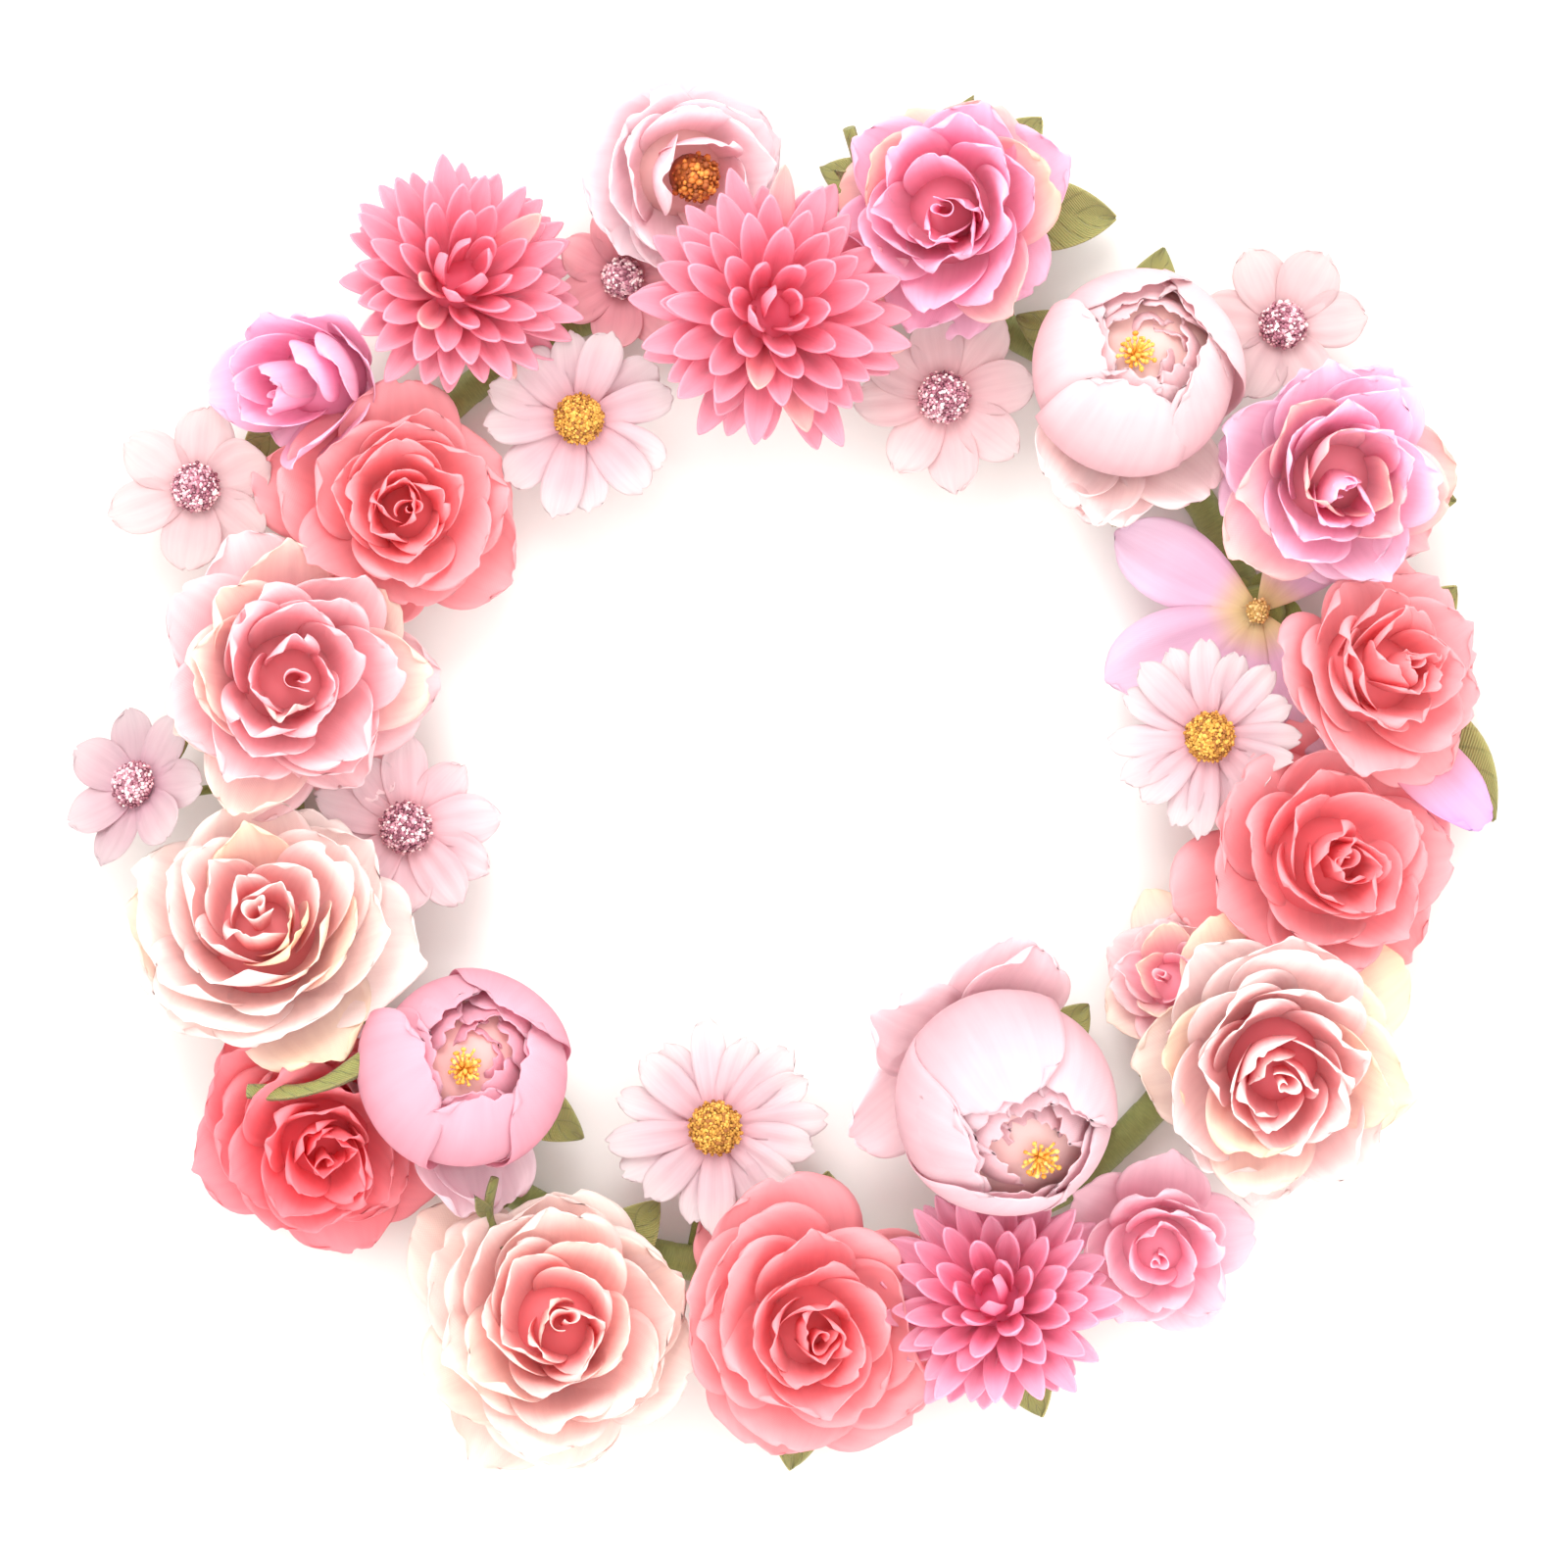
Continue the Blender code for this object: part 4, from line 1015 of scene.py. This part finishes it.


# twill: ribs on a slant with a painted highlight along them, a paler midrib and side veins, yellow-green worn
# edges
def leafCloth():
    g = Graph("leaf_twill")
    u, v, _ = g.uv()
    side = g.math("ABSOLUTE", g.math("SUBTRACT", g.times(u, 2.0), 1.0))
    rib = g.math("SINE", g.math("ADD", g.times(v, 330.0), g.times(u, 110.0)))
    vein = g.math("SINE", g.times(g.math("SUBTRACT", v, g.times(side, 0.22)), 44.0))
    veinHeight = g.math("MULTIPLY_ADD", vein, 0.5)
    veinLine = g.ramp(veinHeight, [(0.90, black), (1.0, white)])
    clouds = g.noise(g.objectPlace(), 120.0, 3.0)
    greens = [(0.3, srgb("#4C5224")), (0.55, srgb("#62672F")), (0.75, srgb("#747038"))]
    green = g.ramp(clouds, greens)
    # painted highlight: the raised slanting ribs are mixed towards a lighter green
    green = g.mix(g.math("MULTIPLY_ADD", rib, 0.22), green, srgb("#9A9550"))
    green = g.mix(g.times(veinLine, 0.3), green, srgb("#3F4419"))
    midrib = g.ramp(side, [(0.0, white), (0.09, black)])
    green = g.mix(g.times(midrib, 0.5), green, srgb("#8D8B48"))
    edge = g.ramp(side, [(0.86, black), (1.0, white)])
    green = g.mix(g.times(edge, 0.55), green, srgb("#A7A05C"))
    normal = g.bump(rib, 0.00009, 0.7)
    normal = g.bump(g.math("SUBTRACT", 1.0, veinLine), 0.0002, 0.6, normal)
    return g.finish(green, Normal=normal, Roughness=0.72, Sheen_Weight=0.15, Subsurface_Weight=0.08)


# folded, arched blades on a short green collar round the stem
def makeLeaves(name, material, rng):
    headings, lengths = (np.array(part, float) for part in zip(*leaves[name]))
    count = len(headings)
    shape = petalShape(
        count, rootR=1.2 * mm, rootZ=0.0, tipR=lengths * mm * 1.03,
        tipZ=(leaf["tipLevel"] - leaf["level"]) * mm + rng.uniform(-1, 2.5, count) * mm,
        width=lengths * mm * leaf["width"], bow=rng.uniform(-0.38, -0.15, count) * (20 / lengths) ** 2,
        lip=rng.uniform(-0.1, 0.5, count), turn=np.radians(headings), phase=rng.uniform(0, 6, count),
        neck=0.12, full=1.0, widest=0.55, taper=0.97, blunt=0.95, round=0.0, wrap=0.0, cup=0.05,
        fold=0.30, ruffle=0.35 * mm, waves=6.0,
        tuck=rng.uniform(-1.2, 1.2, count) * mm, sweep=rng.uniform(-0.08, 0.08, count),
    )
    blades = petals(shape, rows=21, columns=11)
    collar = turned(np.array([(1.0, -1.2), (leaf["collar"], -0.6), (leaf["collar"], 0.4), (1.0, 1.4)]) * mm)
    middle, _ = placeOf(name)
    low = np.array([middle[0], middle[1], leaf["level"] * mm])
    for sheet in (blades, collar):
        sheet["points"] = pressed(name, sheet["points"] + low)
    sheets = [blades, collar]
    if name in sprigs:
        sheets += sprigSheets(name, rng)
    makePiece(name + "_leaf_blades", sheets, material, leaf["thick"] * mm, name + "_leaves", "leaf_cloth")


# stems, calyxes and the bound hoop
stem = {
    "radius": 0.9, "calyx": 0.16, "sepals": 5,
    "foot": 2.6, "footLevel": 3.0, "topFootLevel": 5.4,     # where it meets the tape, beside or on top
    "drop": 5.0, "lead": 9.0,       # of the bend's two handles
    "lowest": 1.1, "soft": 1.2,     # above the table
}
tape = {
    "radius": 3.0, "wraps": 96, "step": 0.16, "slit": 1.0, "slitAngle": -90,
    "bulge": 0.5, "bulgeReach": 0.035,      # where a stem is bound, mm and radians
}


# waxed crepe, with a crinkle that follows the winding, and worn patches
def stemGreen(name, pale, dark, wraps):
    g = Graph(name)
    u, v, _ = g.uv()
    winding = g.combine(g.times(u, 9.0), g.times(v, wraps * 9.0))
    crinkle = g.noise(winding, 1.0, 3.0, 0.65)
    tone = g.ramp(crinkle, [(0.3, srgb(dark)), (0.7, srgb(pale))])
    worn = g.noise(g.objectPlace(), 260.0, 2.0)
    tone = g.mix(g.times(worn, 0.35), tone, srgb("#9C9A58"))
    normal = g.bump(crinkle, 0.0002, 0.7)
    return g.finish(tone, Normal=normal, Roughness=0.62, Sheen_Weight=0.1)


# A calyx under the head, its sepals, and a bent wire stem from it to the hoop
def makeStem(name, material, rng):
    kind, angle, out, _, width, depth, *_ = flowers[name]
    middle, face = placeOf(name)
    half, deep = width * mm / 2, depth * mm
    low = -0.5 * deep - (1.4 * mm if kind == "lilac" else 0.0)
    cap = max(stem["calyx"] * half, 2.2 * mm)
    calyx = turned([
        (0.7 * mm, low - 2.6 * mm), (1.3 * mm, low - 1.4 * mm), (cap, low),
        (1.25 * cap, low + 0.10 * deep + 0.6 * mm), (cap, low + 0.16 * deep + 1.2 * mm),
    ])
    sepals = petalRing(
        stem["sepals"], rng, rows=9, columns=7, rootR=cap * 0.8, rootZ=low,
        tipR=min(0.55 * half, cap + 5 * mm),
        tipZ=low + 0.5 * mm + (0.0 if kind in lowKinds else 0.12) * deep, width=cap * 1.5, bow=0.35,
        lip=0.2, taper=0.96, blunt=0.9, widest=0.45,
    )
    calyx["shade"] = 0.4
    settle(name, [calyx, sepals], press=False)

    axis = face[:, 2]
    start = middle + axis * (low - 1.5 * mm)
    radial = polar(1.0, math.radians(angle), 0.0)
    side = math.copysign(1.0, out) if abs(out) > 4 else 0.0
    wire = ringMiddle + radial * hoopRadius
    level = stem["footLevel"] if side else stem["topFootLevel"]
    foot = wire + radial * side * stem["foot"] * mm + np.array([0, 0, level]) * mm
    lead = min(abs(out) * 0.5, stem["lead"]) * mm
    handles = [start, start - axis * stem["drop"] * mm, foot + radial * side * lead, foot]
    s = np.linspace(0, 1, 18)[:, None]
    b = [(1 - s) ** 3, 3 * (1 - s) ** 2 * s, 3 * (1 - s) * s**2, s**3]
    path = sum(weight * handle for weight, handle in zip(b, handles))
    path[:, 2] = liftedOff(path[:, 2], stem["lowest"] * mm, stem["soft"] * mm)
    wireTube = tubes(path[None], stem["radius"] * mm)
    makePiece(name + "_stem", [calyx, sepals, wireTube], material, slotName="tape")


# tape wound round the wire: radius = base + step saw(wraps * turn + t) + a bulge where each stem is bound
def makeHoop(material):
    halfSlit = tape["slit"] * mm / 2 / hoopRadius
    around = np.linspace(halfSlit, 2 * np.pi - halfSlit, 1100) + math.radians(tape["slitAngle"])
    t = np.linspace(0, 2 * np.pi, 18, endpoint=False)
    saw = (tape["wraps"] * around[:, None] / (2 * np.pi) + t / (2 * np.pi)) % 1
    feet = np.radians([facts[1] for facts in flowers.values()])
    off = np.angle(np.exp(1j * (around[:, None] - feet)))
    bulge = np.exp(-((off / tape["bulgeReach"]) ** 2)).sum(1)[:, None]
    bulge = np.minimum(bulge, 1) * np.clip(np.sin(t) + 0.7, 0, 1)
    radius = (tape["radius"] - 0.05 + tape["step"] * saw + tape["bulge"] * bulge) * mm
    wide = hoopRadius + radius * np.cos(t)
    level = np.maximum(hoopMiddle.z + radius * np.sin(t), 0.0)
    grid = ringMiddle + polar(wide, around[:, None], level)
    makePiece("hoop_winding", [wrapped(grid[None, :, ::-1], t)], material, node="hoop_tape", slotName="tape")


# drawn wire: fine streaks that run along it
def brushedWire():
    g = Graph("drawn_wire")
    streaks = g.noise(g.objectPlace(), 900.0, 3.0)
    tone = g.ramp(streaks, [(0.3, (0.30, 0.30, 0.31, 1)), (0.7, (0.55, 0.55, 0.56, 1))])
    return g.finish(tone, Metallic=1.0, Roughness=0.36, Normal=g.bump(streaks, 0.00003, 0.5))


makeCamera()
makeStudio()
print("studio made")

heartCloths = {
    "daisy": flockCloth(
        "golden_flock", [(0.0, "#8A5222"), (0.35, "#B07C2C"), (0.7, "#CC9A40"), (1.0, "#DCB052")], 0.7,
    ),
    "cosmos": flockCloth(
        "mauve_glitter", [(0.0, "#6C3444"), (0.4, "#A6697A"), (0.75, "#D2A6AE"), (1.0, "#FFF2F0")], 0.4, 0.3,
    ),
    "lilac": flockCloth("throat_flock", [(0.0, "#A98648"), (0.5, "#D0A862"), (1.0, "#E8CC8E")], 0.75),
    "openRose": flockCloth("amber_flock", [(0.0, "#7A3A10"), (0.5, "#B9651F"), (1.0, "#D98E3A")], 0.6),
    "peony": flockCloth("stamen_threads", [(0.0, "#E09A30"), (0.5, "#EFBA4C"), (1.0, "#F8D67C")], 0.65),
}
petalCloths = {}
twill = leafCloth()
stemTape = stemGreen("stem_tape", "#7F8B3C", "#56622A", 6)
hoopTape = stemGreen("hoop_tape_green", "#7C8742", "#5A6530", 300)

for index, name in enumerate(flowers):
    rng = np.random.default_rng(100 + index)
    kind = flowers[name][0]
    dye = dyeOf.get(name) or {"coralRose": "coral"}.get(kind, kind)
    if dye not in petalCloths:
        petalCloths[dye] = petalCloth(dye + "_cloth", dyes[dye], rootReach.get(dye, 0.5))
    sheets, thick = makePetals(name, rng)
    makePiece(name + "_petals", settle(name, sheets), petalCloths[dye], thick, name, slotOf(kind))
    makeStem(name, stemTape, rng)
    if kind in heartCloths:
        makeHeart(name, rng, heartCloths)
    if name in leaves:
        makeLeaves(name, twill, rng)
print("flowers made")

makeHoop(hoopTape)
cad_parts["hoop_wire"].data.materials.clear()
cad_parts["hoop_wire"].data.materials.append(brushedWire())
print("hoop made")
